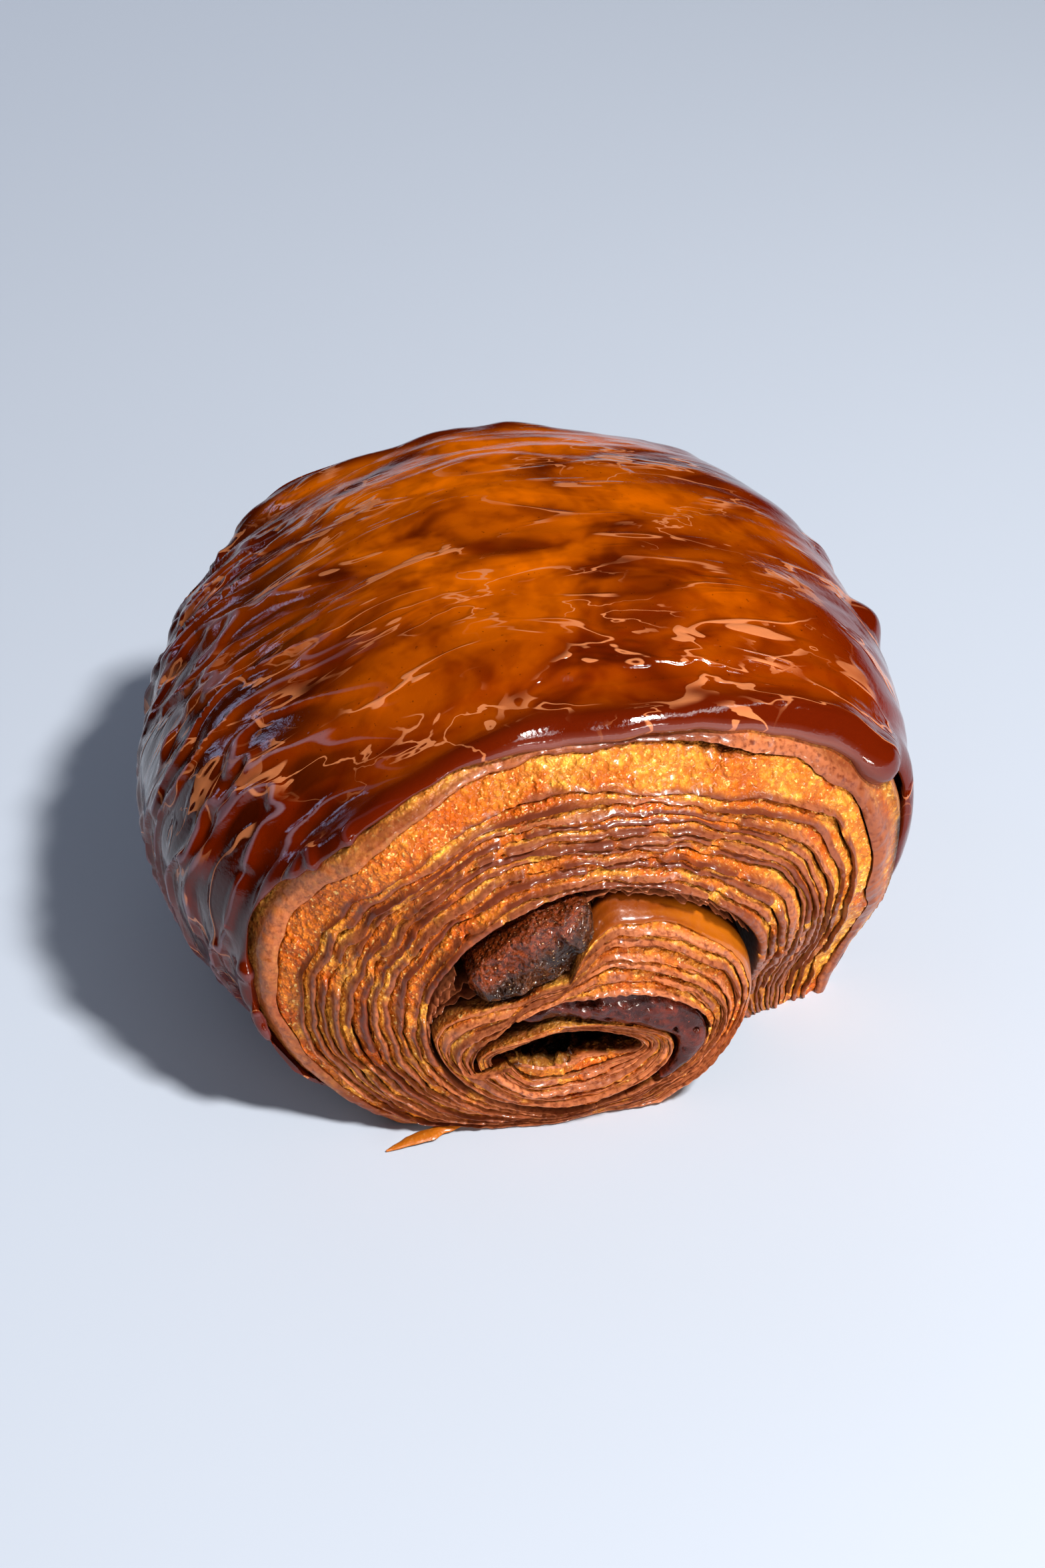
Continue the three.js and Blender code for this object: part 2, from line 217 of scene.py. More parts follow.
def end_setback(x, z, deg):
    """How far a rolled end lies behind its tip at a section point, at an angle along the roll."""
    dome = ((x - DOME["x"]) / DOME["half"]) ** 2 + ((z - DOME["z"]) / DOME["high"]) ** 2
    tail = ease(deg, *TAIL_END["deg"]) * (1 - ease(z, *TAIL_END["z"]))
    shoulder = hump(x, SHOULDER["x"], SHOULDER["reach"]) * ease(z, *SHOULDER["z"])
    from_hollow = ((x - BOWL["x"]) / BOWL["half"]) ** 2 + ((z - BOWL["z"]) / BOWL["high"]) ** 2
    bowl = BOWL["deep"] * np.clip(1 - from_hollow, 0, 1) * ease(deg, *SECOND_TURN_END["outer"])
    return DOME["rise"] * dome + TAIL_END["setback"] * tail - SHOULDER["forward"] * shoulder + bowl


def swollen(x, z, y, share, deg):
    """Section points grown by the swelling at y, with the left shoulder sloped, as far as share says."""
    front = y < FULLEST_Y
    rim_y = np.where(front, -RIM_Y, RIM_Y)
    drawn_in = np.clip((y - FULLEST_Y) / (rim_y - FULLEST_Y), 0, 1) ** SWELL_POWER
    growth = {}
    for side, full in FULLEST.items():
        rim = np.where(front, FRONT_RIM[side], BACK_RIM[side])
        growth[side] = lean(1, lean(full, rim, drawn_in) / FRONT_RIM[side], share)
    x, z = x * np.where(x > 0, growth["right"], growth["left"]), z * growth["top"]
    fall = rise(SLOPE, deg) * ease(y, *SLOPE_Y) * share
    away = np.maximum(np.hypot(x, z - WIDEST_Z), 1.0)
    return x - fall * x / away, z - fall * (z - WIDEST_Z) / away


FINE_STEPS = 4000  # places at which a length along the sheet is measured


def even_steps(start, end, count, t):
    """Angles along the roll, evenly spaced by length on the sheet, and that length."""
    fine = np.linspace(start, end, FINE_STEPS)
    x, z = sheet_section(fine, t)
    run = np.concatenate([[0], np.cumsum(np.hypot(np.diff(x), np.diff(z)))])
    steps = np.linspace(0, run[-1], count)
    return np.interp(steps, run, fine), steps


# Layers across the sheet, from its outer to its inner face, as shares of its thickness on each stretch of the
# roll: a smooth sheet under the crust, a broad open crumb, then ten thinner layers that fan out on the right,
# and of which every other one has nearly melted away in the core
LAYER_SHARES = {
    "right": (0.17, 0.15, 0.10, 0.09, 0.06, 0.05, 0.05, 0.05, 0.08, 0.06, 0.07, 0.07),
    "top": (0.12, 0.24, 0.075, 0.07, 0.06, 0.055, 0.05, 0.05, 0.075, 0.06, 0.085, 0.06),
    "left": (0.15, 0.22, 0.065, 0.06, 0.06, 0.06, 0.06, 0.06, 0.062, 0.06, 0.093, 0.05),
    "low": (0.17, 0.09, 0.08, 0.07, 0.08, 0.07, 0.08, 0.07, 0.08, 0.07, 0.08, 0.06),
    "core": (0.19, 0.11, 0.015, 0.12, 0.015, 0.14, 0.015, 0.11, 0.015, 0.12, 0.015, 0.135),
    "seat": (0.10, 0.21, 0.012, 0.05, 0.012, 0.24, 0.012, 0.05, 0.012, 0.20, 0.012, 0.09),
    "floor": (0.08, 0.16, 0.012, 0.03, 0.012, 0.18, 0.012, 0.03, 0.012, 0.14, 0.012, 0.32),
    "heart": (0.10, 0.22, 0.012, 0.06, 0.012, 0.24, 0.012, 0.06, 0.012, 0.19, 0.012, 0.07),
}
# The part of each layer, from its outer side, where the open crumb ends and its smooth baked edge starts
EDGE_STARTS = {
    "right": (0.30, 0.78, 0.62, 0.58, 0.45, 0.30, 0.25, 0.30, 0.52, 0.30, 0.42, 0.25),
    "top": (0.50, 0.93, 0.62, 0.58, 0.50, 0.38, 0.32, 0.42, 0.58, 0.42, 0.65, 0.35),
    "left": (0.10, 0.93, 0.50, 0.50, 0.45, 0.50, 0.45, 0.50, 0.45, 0.50, 0.72, 0.30),
    "low": (0.10, 0.70, 0.42, 0.48, 0.42, 0.48, 0.42, 0.48, 0.42, 0.48, 0.55, 0.40),
    "core": (0.75, 0.38, 0.40, 0.45, 0.40, 0.60, 0.40, 0.38, 0.40, 0.42, 0.40, 0.62),
    "seat": (0.35, 0.32, 0.30, 0.30, 0.30, 0.40, 0.30, 0.30, 0.30, 0.34, 0.30, 0.45),
    "floor": (0.45, 0.36, 0.30, 0.35, 0.30, 0.45, 0.30, 0.35, 0.30, 0.40, 0.30, 0.84),
    "heart": 12 * (0.30,),
}
# Tint is partly the dough's own browning and partly painted light: lighter low in the core, seat, floor and
# heart, where the key light hardly reaches, darker on the top, which it strikes full, and on the left. It
# turns edges from plum to tan, crumb from brown to gold and skin from brown to amber, and weakens the painted
# shade in grooves.
LAYER_TINTS = {  # how light the baked edges and the crumb are, from deep brown at 0 to tan and gold at 1
    "right": (0.35,), "top": (0.12,), "left": (0.2,), "low": (0.4,), "core": (0.68,), "seat": (0.5,),
    "floor": (0.7,), "heart": (0.5,),
}
STRETCH_STARTS = {  # degrees along the roll
    "top": (25.0, 70.0), "left": (105.0, 150.0), "low": (165.0, 206.0), "core": (262.0, 345.0),
    "seat": (455.0, 475.0), "floor": (572.0, 600.0), "heart": (690.0, 735.0),
}
WRAP_START = 0.07  # where the layers start under the crust
SKIN = {"span": ((338.0, 356.0), (470.0, 452.0)), "round": 2.4}  # bare glossy shoulder of the core
INNER_SKIN = (562.0, 26.0)  # place and reach of a bare patch on the core's inner layer, left of the hollow
SMEAR = (578.0, 13.0)  # where melted chocolate has run onto that layer
LEFT_SHEET = {"skin": 0.15, "span": ((96.0, 135.0), (262.0, 236.0))}  # amber of the sheet on the left
TEAR = (66.0, 14.0)  # where the sheet under the crust has torn away from the crumb
LAYER_WAVES = {  # height, length, step from layer to layer and from end to end, and seed
    "long_swing": (0.42, 16.0, 3.7, 9.1, 1), "short_swing": (0.24, 5.0, 5.1, 3.1, 8),
    "jitter": (0.26, 3.3, 7.3, 2.3, 9), "parted": (1.0, 9.0, 5.3, 4.7, 2), "stand": (1.0, 14.0, 2.9, 6.1, 3),
    "broken": (1.0, 3.6, 2.2, 8.3, 16), "shift": (0.14, 6.0, 4.1, 1.9, 17),
    "ragged": (0.26, 0.9, 3.3, 2.7, 24), "tint": (0.55, 12.0, 4.4, 6.6, 18),
}
FULL_LAYER = 1.1  # thickness of a layer that has its whole relief
GROOVE = {"deep": 1.4, "wide": 0.28, "in_crumb": 0.07, "torn": 0.3}  # its widths as parts of a layer
EDGE_STAND = 0.8
BUBBLE = {"wide": 1.8, "high": 0.6}
GRAIN = {"wide": 0.85, "high": 0.34}
BUBBLE_MEAN = 0.3
FACE_SHADE = (0.2, 3.4)  # depths between which a face in a gap falls into the dark
ROW_POWER = 1.3  # brings rows closer in the groove that opens each layer
# What each vertex keeps for its finish: its smooth baked edge; dark, which is painted shade in grooves,
# crevices and deep gaps, and the real colour of melted chocolate where it has run; bare skin; and tint.
LOOKS = ("edge", "dark", "skin", "tint")


def on_stretch(table, deg):
    """The row of a table for each angle, passing from stretch to stretch of the roll."""
    values = np.array(table["right"])
    for name, start in STRETCH_STARTS.items():
        values = lean(values, np.array(table[name]), ease(deg, *start)[:, None])
    return values


def layer_rows(counts):
    """Rows across the layers' edges, as the layer and the part of it where each row lies."""
    layer, part = [], []
    for index, count in enumerate(counts):
        layer += [index] * count
        part += list(np.linspace(0.0, 1.0, count) ** ROW_POWER)
    return np.array(layer), np.array(part)


def skin_there(deg):
    """How far the core's outer layer is a bare glossy skin."""
    return between(deg, *SKIN["span"])


def layered_end(deg, run, counts, end):
    """The layers' edges at one rolled end (-1 front, 1 back): their places and what shows there."""
    layer, part = layer_rows(counts)
    along = run[:, None]
    each = np.arange(len(counts))[None, :]
    under_crust, in_crumb, innermost = (np.where(layer == index, 1, 0) for index in (0, 1, len(counts) - 1))

    def wave(name):
        """One of the layers' waves, along this end."""
        high, length, layer_step, end_step, seed = LAYER_WAVES[name]
        return high * cloud(along / length, each * layer_step, end * end_step, seed=seed)

    outer_x, outer_z = sheet_section(deg, 0.0)
    inner_x, inner_z = sheet_section(deg, 1.0)
    thick = np.hypot(outer_x - inner_x, outer_z - inner_z)[:, None]
    swing = 1 + wave("long_swing") + wave("short_swing")
    width = on_stretch(LAYER_SHARES, deg) * np.maximum(swing, 0.3)
    start = lean(WRAP_START, 0.0, ease(deg, *STRETCH_STARTS["core"]))[:, None]
    width = width / width.sum(axis=1, keepdims=True) * (1 - start)
    border = start + np.concatenate([np.zeros_like(start), np.cumsum(width, axis=1)], axis=1)
    jitter = wave("jitter") + 0.12 * cloud(along / 1.2, each * 6.1, 0.5, seed=10)
    border[:, 1:-1] += np.clip(jitter / np.maximum(thick, 2), -0.025, 0.025)[:, 1:]
    width = np.maximum(np.diff(border, axis=1), 0.004)
    t = np.clip(border[:, :-1][:, layer] + part * width[:, layer], 0, 1)
    x, z = sheet_section(deg[:, None], t)
    size = np.clip(thick * width[:, layer] / FULL_LAYER, 0.12, 1)

    torn = hump(deg, *TEAR)[:, None] * (1 + 0.8 * cloud(along / 1.1, 0.5, end * 4.4, seed=20))
    parted = ease(wave("parted"), -0.1, 0.45)[:, layer] + 1.4 * in_crumb * torn
    stand = 0.3 + 0.95 * ease(wave("stand"), -0.5, 0.5)[:, layer]
    whole = np.maximum(ease(wave("broken"), -0.62, -0.35)[:, layer], under_crust)
    edge_start = on_stretch(EDGE_STARTS, deg)[:, layer] + wave("shift")[:, layer]
    edge_start = np.clip(edge_start, lean(0.3, 0.05, under_crust), 0.95)
    before, after = lean(0.08, 0.28, under_crust), lean(0.06, 0.2, under_crust)
    smooth_edge = ease(part, edge_start - before, edge_start + after) * whole
    edge_part = np.clip((part - edge_start) / (1 - edge_start), 0, 1)
    bead = ease(edge_part, 0, 0.35) * (1 - 0.6 * ease(edge_part, 0.7, 1)) * whole
    groove_wide = np.where(layer == 1, GROOVE["in_crumb"] + GROOVE["torn"] * torn, GROOVE["wide"])
    groove = 1 - ease(part, 0.0, groove_wide)
    bubble = np.abs(cloud(x / BUBBLE["wide"], z / BUBBLE["wide"], end * 3.3, seed=4))
    grain = np.abs(cloud(x / GRAIN["wide"], z / GRAIN["wide"], end * 2.1, seed=5))
    crumb = BUBBLE["high"] * (bubble - BUBBLE_MEAN) + GRAIN["high"] * (grain - BUBBLE_MEAN)
    crumb = crumb * (1 - smooth_edge)
    waver = 0.55 * cloud(x / 9, z / 9, end * 7.7, seed=6) + 0.12 * cloud(x / 2.2, z / 2.2, end * 5.5, seed=7)
    smear = innermost * hump(deg, *SMEAR)[:, None]
    sheet_skin = skin_there(deg) + LEFT_SHEET["skin"] * between(deg, *LEFT_SHEET["span"])
    skin = under_crust * sheet_skin[:, None] + innermost * hump(deg, *INNER_SKIN)[:, None]

    depth = GROOVE["deep"] * lean(0.35, 1, parted)
    stands = size * (EDGE_STAND * stand * bead - depth * groove) + lean(0.35, 1, size) * crumb + waver
    stands = stands + size * bead * wave("ragged")[:, layer]
    stands = stands + 0.7 * torn * under_crust * ease(part, 0.5, 1.0)
    streak = 0.3 * cloud(along / 9, part * 6.0, end * 5.7, seed=42)
    stands = lean(stands, waver + streak - SKIN["round"] * (1 - part) ** 2, skin)
    # Painted shade in the crumb's crevices, between its bubbles.
    crevice_shade = (1 - ease(bubble, 0.0, 0.15)) * (1 - smooth_edge)
    tint = on_stretch(LAYER_TINTS, deg)
    # Painted shade: dark in each layer's groove, more where the layers have parted and on deep brown
    # stretches, and a little in the crumb's crevices; the smear is real melted chocolate.
    dark = groove * (0.5 + 0.85 * parted) * lean(1.1, 0.7, tint) + 0.12 * crevice_shade
    dark = np.maximum(np.clip(dark, 0, 1) * (1 - skin), 0.9 * smear)
    sheet_tint = 0.4 * cloud(along / 20, part * 5.0, end * 3.9, seed=29) + 0.1
    tint = np.clip(tint + wave("tint")[:, layer] + under_crust * sheet_tint, 0, 1)
    edge, skin = smooth_edge * (1 - skin), np.clip(skin + smear, 0, 1)
    return {"t": t, "stands": stands, "edge": edge, "dark": dark, "skin": skin, "tint": tint}


def end_band(deg, run, counts, end):
    """Rows across the layers at one end, from the outer to the inner face in front and back again behind."""
    band = layered_end(deg, run, counts, end)
    if end > 0:
        band = {key: value[:, ::-1] for key, value in band.items()}
    return dict(band, end=end, deep=np.zeros_like(band["t"]))


def face_band(deg, t, end, depths, edge, dark, skin, shaded=1.0, rough=0.0):
    """Rows along one face of the sheet, going in from an end and shaded more the deeper they lie in a gap."""
    deep = np.broadcast_to(np.array(depths, float), (len(deg), len(depths)))
    looks = {"edge": edge, "dark": dark, "skin": skin, "tint": 0.3}
    band = {key: np.zeros_like(deep) + np.reshape(value, (-1, 1)) for key, value in looks.items()}
    band["dark"] = np.clip(band["dark"] + shaded * ease(deep, *FACE_SHADE), 0, 1)
    lumps = rough * np.abs(cloud(deg[:, None] / 9, deep / 1.3, end * 1.7, seed=30))
    return dict(band, t=t - lumps, end=end, deep=deep, stands=np.zeros_like(deep))


def new_piece(name):
    """The primitive just added, named, and its vertices' places."""
    piece = bpy.context.object
    piece.name = name
    piece.data.name = name
    place = np.empty(len(piece.data.vertices) * 3)
    piece.data.vertices.foreach_get("co", place)
    return piece, place.reshape(-1, 3)


def flat_grid(name, columns, rows):
    """A flat grid with its vertices' column and row; its last row comes back to the first."""
    bpy.ops.object.select_all(action="DESELECT")
    bpy.ops.mesh.primitive_grid_add(x_subdivisions=columns - 1, y_subdivisions=rows, size=1)
    piece, place = new_piece(name)
    column = np.rint((place[:, 0] + 0.5) * (columns - 1)).astype(int)
    row = np.rint((place[:, 1] + 0.5) * rows).astype(int) % rows
    return piece, column, row


def place_points(piece, x, y, z):
    """Moves the piece's vertices to places in millimetres."""
    piece.data.vertices.foreach_set("co", (np.stack([x, y, z], axis=1) * MM).ravel())
    piece.data.update()


def paint(piece, name, values):
    """Keeps a value for each vertex, for the piece's material to read."""
    layer = piece.data.attributes.new(name, "FLOAT", "POINT")
    layer.data.foreach_set("value", values.astype(np.float32))


SEAM = 0.002  # points closer than this are one
SMOOTH_ANGLE = 70.0


def close_piece(piece):
    """Joins the grid's seam, fills its open ends and turns its faces out."""
    bpy.context.view_layer.objects.active = piece
    bpy.ops.object.mode_set(mode="EDIT")
    bpy.ops.mesh.select_all(action="SELECT")
    bpy.ops.mesh.remove_doubles(threshold=SEAM * MM)
    bpy.ops.mesh.select_all(action="SELECT")
    bpy.ops.mesh.fill_holes(sides=0)
    bpy.ops.mesh.select_all(action="SELECT")
    bpy.ops.mesh.normals_make_consistent(inside=False)
    bpy.ops.object.mode_set(mode="OBJECT")
    bpy.ops.object.shade_smooth_by_angle(angle=math.radians(SMOOTH_ANGLE))


def rolled_piece(name, deg, bands):
    """A closed piece of the rolled sheet, from a flat grid whose columns run along the roll.

    Each band of rows has its place across the sheet, its end, its depth in from that end, and its looks.
    """
    rows = {key: [] for key in ("x", "y", "z") + LOOKS}
    for band in bands:
        x, z = sheet_section(deg[:, None], band["t"], ease(band["deep"], *POCKET_DEPTH))
        reach = HALF_LENGTH - end_setback(x, z, deg[:, None]) + band["stands"] - band["deep"]
        y = band["end"] * np.maximum(reach, MIDDLE_Y)
        x, z = swollen(x, z, y, turn_shares(deg[:, None])[0] * (1 - band["t"]), deg[:, None])
        for key, value in (("x", x), ("y", y), ("z", np.maximum(z, 0))):
            rows[key].append(value)
        for key in LOOKS:
            rows[key].append(band[key])
    sheet = {key: np.concatenate(values, axis=1) for key, values in rows.items()}
    piece, column, row = flat_grid(name, *sheet["x"].shape)
    place_points(piece, *(sheet[key][column, row] for key in "xyz"))
    for key in LOOKS:
        paint(piece, key, sheet[key][column, row])
    close_piece(piece)
    return piece


CORE_FROM = 285.0
CORE_COLUMNS = 600
core_deg, core_run = even_steps(CORE_FROM, SHEET_END, CORE_COLUMNS, 0.5)
core_skin = skin_there(core_deg)
# Faces in the gaps between the turns get painted shade, the more the deeper they lie.
core_roll = rolled_piece("core_roll", core_deg, [
    end_band(core_deg, core_run, (10, 6, 6, 6, 6, 11, 6, 6, 6, 6, 6, 15), -1),
    face_band(core_deg, 1, -1, (0.7, 1.4, 2.1, 3, 4.4, 7, 10, 14), 0.3, 0.2, 0, rough=0.2),
    face_band(core_deg, 1, 1, (14, 10, 7, 4.4, 2.6, 1.4), 0.3, 0.2, 0),
    end_band(core_deg, core_run, (5, 3, 3, 3, 3, 5, 3, 3, 3, 3, 3, 7), 1),
    face_band(core_deg, 0, 1, (3.2, 5, 8, 11, 14), 1, 0.2 * (1 - core_skin), core_skin),
    face_band(core_deg, 0, -1, (14, 11, 8, 6, 4.4, 3.2), 1, 0.2 * (1 - core_skin), core_skin),
])


def srgb(red, green, blue):
    """A colour from screen values of 0 to 255."""
    def linear(value):
        value /= 255
        return value / 12.92 if value <= 0.04045 else ((value + 0.055) / 1.055) ** 2.4
    return linear(red), linear(green), linear(blue), 1.0


def feed(tree, socket, value):
    """Gives a socket a value or a link."""
    if isinstance(value, bpy.types.NodeSocket):
        tree.links.new(value, socket)
    else:
        socket.default_value = value


def fill(tree, made, **inputs):
    """Gives a node's sockets their values or links, by name."""
    for name, value in inputs.items():
        feed(tree, made.inputs[name.replace("_", " ")], value)


def node(tree, kind, options=None, **inputs):
    """Adds a shader node, each input being a value or the socket that feeds it."""
    made = tree.nodes.new(kind)
    for name, value in (options or {}).items():
        setattr(made, name, value)
    fill(tree, made, **inputs)
    return made


def blend(tree, factor, first, second):
    """A colour blended from first to second by a factor."""
    mix = node(tree, "ShaderNodeMix", {"data_type": "RGBA"})
    for index, value in ((0, factor), (6, first), (7, second)):
        feed(tree, mix.inputs[index], value)
    return mix.outputs[2]


def sum_of(tree, operation, first, second=0.0):
    """A value worked out from one or two others."""
    made = node(tree, "ShaderNodeMath", {"operation": operation})
    feed(tree, made.inputs[0], first)
    feed(tree, made.inputs[1], second)
    return made.outputs[0]


def times(tree, first, second):
    """Two values multiplied."""
    return sum_of(tree, "MULTIPLY", first, second)


def stretch(tree, value, low, high, to_low=0.0, to_high=1.0):
    """A value stretched smoothly from one range to another."""
    made = node(tree, "ShaderNodeMapRange", {"interpolation_type": "SMOOTHSTEP"}, Value=value, From_Min=low,
                From_Max=high, To_Min=to_low, To_Max=to_high)
    return made.outputs["Result"]


def painted(tree, name):
    """A value kept on the piece's vertices."""
    return node(tree, "ShaderNodeAttribute", {"attribute_name": name}).outputs["Fac"]


def bumped(tree, height, strength, distance):
    """The way a surface faces where a height makes it uneven by a distance in millimetres."""
    bump = node(tree, "ShaderNodeBump", Strength=strength, Distance=distance * MM, Height=height)
    return bump.outputs["Normal"]


def effect(name, inputs):
    """An empty shader group: its inputs at their usual values, its result, and a piece's own coordinates."""
    group = bpy.data.node_groups.new(name, "ShaderNodeTree")
    for label, value in inputs.items():
        group.interface.new_socket(label, in_out="INPUT", socket_type="NodeSocketFloat").default_value = value
    group.interface.new_socket("Result", in_out="OUTPUT", socket_type="NodeSocketFloat")
    given, result = group.nodes.new("NodeGroupInput").outputs, group.nodes.new("NodeGroupOutput").inputs[0]
    return group, given, result, node(group, "ShaderNodeTexCoord").outputs["Object"]


def grain_effect():
    """Noise with lumps of a size in millimetres."""
    group, given, result, where = effect("grain", {"Size": 1.0, "Detail": 3.0, "Roughness": 0.55})
    scale = sum_of(group, "DIVIDE", 1 / MM, given["Size"])
    noise = node(group, "ShaderNodeTexNoise", Vector=where, Scale=scale, Detail=given["Detail"],
                 Roughness=given["Roughness"])
    feed(group, result, noise.outputs["Fac"])
    return group


def bubble_effect():
    """How far from its middle a place lies in bubbles of a size in millimetres, each bent out of round."""
    group, given, result, where = effect("bubbles", {"Size": 1.0})
    metres = times(group, given["Size"], MM)
    scale = sum_of(group, "DIVIDE", 1.0, metres)
    wobble = node(group, "ShaderNodeTexNoise", Vector=where, Scale=times(group, scale, 0.8))
    bent = node(group, "ShaderNodeVectorMath", {"operation": "MULTIPLY_ADD"})
    for index, value in enumerate((wobble.outputs["Color"], metres, where)):
        feed(group, bent.inputs[index], value)
    cells = node(group, "ShaderNodeTexVoronoi", {"feature": "SMOOTH_F1"}, Vector=bent.outputs["Vector"],
                 Scale=scale, Smoothness=0.35)
    feed(group, result, cells.outputs["Distance"])
    return group


grain = grain_effect()
bubbles = bubble_effect()


def placed(tree, group, **inputs):
    """An effect placed in a finish with its own values."""
    return node(tree, "ShaderNodeGroup", {"node_tree": group}, **inputs).outputs["Result"]


def new_finish(name):
    """An empty material with its shader, ready to be fed."""
    finish = bpy.data.materials.new(name)
    finish.use_nodes = True
    tree = finish.node_tree
    return finish, tree, tree.nodes["Principled BSDF"]


CRUMB_GOLD = srgb(252, 180, 68)
CRUMB_BROWN = srgb(192, 86, 8)
CRUMB_CREVICE_SHADE = srgb(138, 56, 8)
CRUMB_GLINT = srgb(255, 214, 130)
EDGE_TAN = srgb(192, 114, 72)
EDGE_PLUM = srgb(100, 45, 26)
GAP_SHADE = srgb(34, 12, 4)
SKIN_AMBER = srgb(162, 86, 8)
SKIN_BROWN = srgb(122, 54, 5)


def layered_dough():
    """Baked laminated dough: golden bubbly crumb, satin brown layer edges, amber skin, with painted shade in
    its gaps and crevices and painted glints on the crumb.
    """
    finish, tree, shader = new_finish("layered_dough")
    edge, dark, skin, tint = (painted(tree, name) for name in LOOKS)
    bubble, foam = placed(tree, bubbles, Size=0.9), placed(tree, bubbles, Size=0.42)
    patch, fleck = placed(tree, grain, Size=5.0), placed(tree, grain, Size=0.6)
    glint = placed(tree, grain, Size=0.5, Detail=2.0)
    tan = stretch(tree, tint, 0.4, 0.7, 0.0, 0.6)
    golden = sum_of(tree, "SUBTRACT", stretch(tree, tint, 0.0, 0.4, 0.2, 1.0), tan)
    gold = times(tree, stretch(tree, patch, 0.3, 0.6), golden)
    crumb = blend(tree, gold, CRUMB_BROWN, CRUMB_GOLD)
    # Painted shade: the crevice colour between the bubbles, where the bump lies lowest.
    crumb = blend(tree, stretch(tree, bubble, 0.3, 0.62, 0.0, 0.55), crumb, CRUMB_CREVICE_SHADE)
    crumb = blend(tree, stretch(tree, foam, 0.4, 0.7, 0.0, 0.4), crumb, CRUMB_CREVICE_SHADE)
    # Painted highlights: bright glints scattered over the crumb.
    crumb = blend(tree, stretch(tree, glint, 0.6, 0.72, 0.0, 0.7), crumb, CRUMB_GLINT)
    brown = blend(tree, times(tree, tint, stretch(tree, fleck, 0.25, 0.6)), EDGE_PLUM, EDGE_TAN)
    amber = blend(tree, stretch(tree, tint, 0.35, 1.0), SKIN_BROWN, SKIN_AMBER)
    colour = blend(tree, edge, crumb, brown)
    colour = blend(tree, skin, colour, amber)
    # Painted shade: the gap colour laid over grooves, crevices and deep faces.
    colour = blend(tree, dark, colour, GAP_SHADE)
    gloss = sum_of(tree, "MAXIMUM", stretch(tree, edge, 0.0, 1.0, 0.28, 0.42), times(tree, skin, 0.7))
    open_crumb = sum_of(tree, "SUBTRACT", 1.0, sum_of(tree, "MAXIMUM", edge, skin))
    foam_height = times(tree, stretch(tree, foam, 0.7, 0.0), 0.6)
    dome = sum_of(tree, "ADD", stretch(tree, bubble, 0.7, 0.0), foam_height)
    height = sum_of(tree, "ADD", times(tree, dome, open_crumb), times(tree, fleck, 0.25))
    fill(tree, shader, Base_Color=colour, Roughness=stretch(tree, fleck, 0.3, 0.7, 0.3, 0.5),
         Specular_IOR_Level=0.15, Coat_Weight=gloss, Coat_Roughness=0.13,
         Normal=bumped(tree, height, 0.8, 0.3))
    return finish


dough_finish = layered_dough()
core_roll.data.materials.append(dough_finish)
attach(core_roll, "root")
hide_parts("pastry")


# The chocolate sticks
# Two baking sticks of dark chocolate, laid on the dough before it is rolled, so each runs from end to end.
# The lower one has melted into a smooth crescent round the heart; the upper one is dry and granular.
STICK_SEGMENTS = 120
STICK_RINGS = 110
END_SHARE = 0.42  # part of the rings that each rounded end takes
CRESCENT = {"from": -52.0, "to": 140.0, "inset": 0.4, "round": 1.2}
LUMPY = (20.0, 75.0)  # degrees between which the crescent turns lumpy
UPPER_BAR = {"x": -6.3, "z": 25.1, "wide": 15.4, "thick": 7.0, "tilt": 25.0, "square": 3.0, "round": 1.8}
GRANULES = ((0.7, 4.5, 25), (0.9, 2.6, 13), (0.55, 1.0, 14), (0.26, 0.55, 15))  # their height, width and seed


def stick_ball(name):
    """A ball whose poles become the stick's ends: its vertices' turn, part of the way along, and swell."""
    bpy.ops.object.select_all(action="DESELECT")
    bpy.ops.mesh.primitive_uv_sphere_add(segments=STICK_SEGMENTS, ring_count=STICK_RINGS, radius=1)
    piece, place = new_piece(name)
    turn = np.arctan2(place[:, 1], place[:, 0])
    along = np.arccos(np.clip(place[:, 2], -1, 1)) / math.pi
    near_end = np.minimum(along, 1 - along) / END_SHARE
    swell = np.sin(np.clip(near_end, 0, 1) * math.pi / 2)
    return piece, turn, along, swell


def stick_y(low, high, along, swell, rounding):
    """How far along Y a ring lies, with both ends rounded."""
    inward = rounding * (1 - np.sqrt(np.clip(1 - swell ** 2, 0, 1)))
    body = np.clip((along - END_SHARE) / (1 - 2 * END_SHARE), 0, 1)
    middle = lean(low + rounding, high - rounding, body)
    return np.where(along < END_SHARE, low + inward, np.where(along > 1 - END_SHARE, high - inward, middle))


lower_low, lower_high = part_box("chocolate_stick_lower")
lower_stick, turn, along, swell = stick_ball("chocolate_stick_lower_piece")
crescent_part = swell * np.cos(turn)
crescent_side = swell * np.sin(turn) / np.sqrt(np.maximum(1 - crescent_part ** 2, 0.02))
crescent_deg = lean(CRESCENT["to"], CRESCENT["from"], (crescent_part + 1) / 2)
half_gap = lower_stick_gap(crescent_deg) / 2
half_thick = np.maximum(half_gap - CRESCENT["inset"], 0.1)
stick_x, stick_z = oval(HEART, crescent_deg, half_gap - np.clip(crescent_side, -1, 1) * half_thick)
stick_along = stick_y(lower_low[1] / MM, lower_high[1] / MM, along, swell, CRESCENT["round"])
dimple = 0.34 * cloud(stick_x / 3.2, stick_z / 3.2, 0.8, seed=11)
lumpy = 0.12 + 0.5 * ease(crescent_deg, *LUMPY)
dimple = dimple + lumpy * cloud(stick_x / 1.3, stick_z / 1.3, 0.4, seed=23)
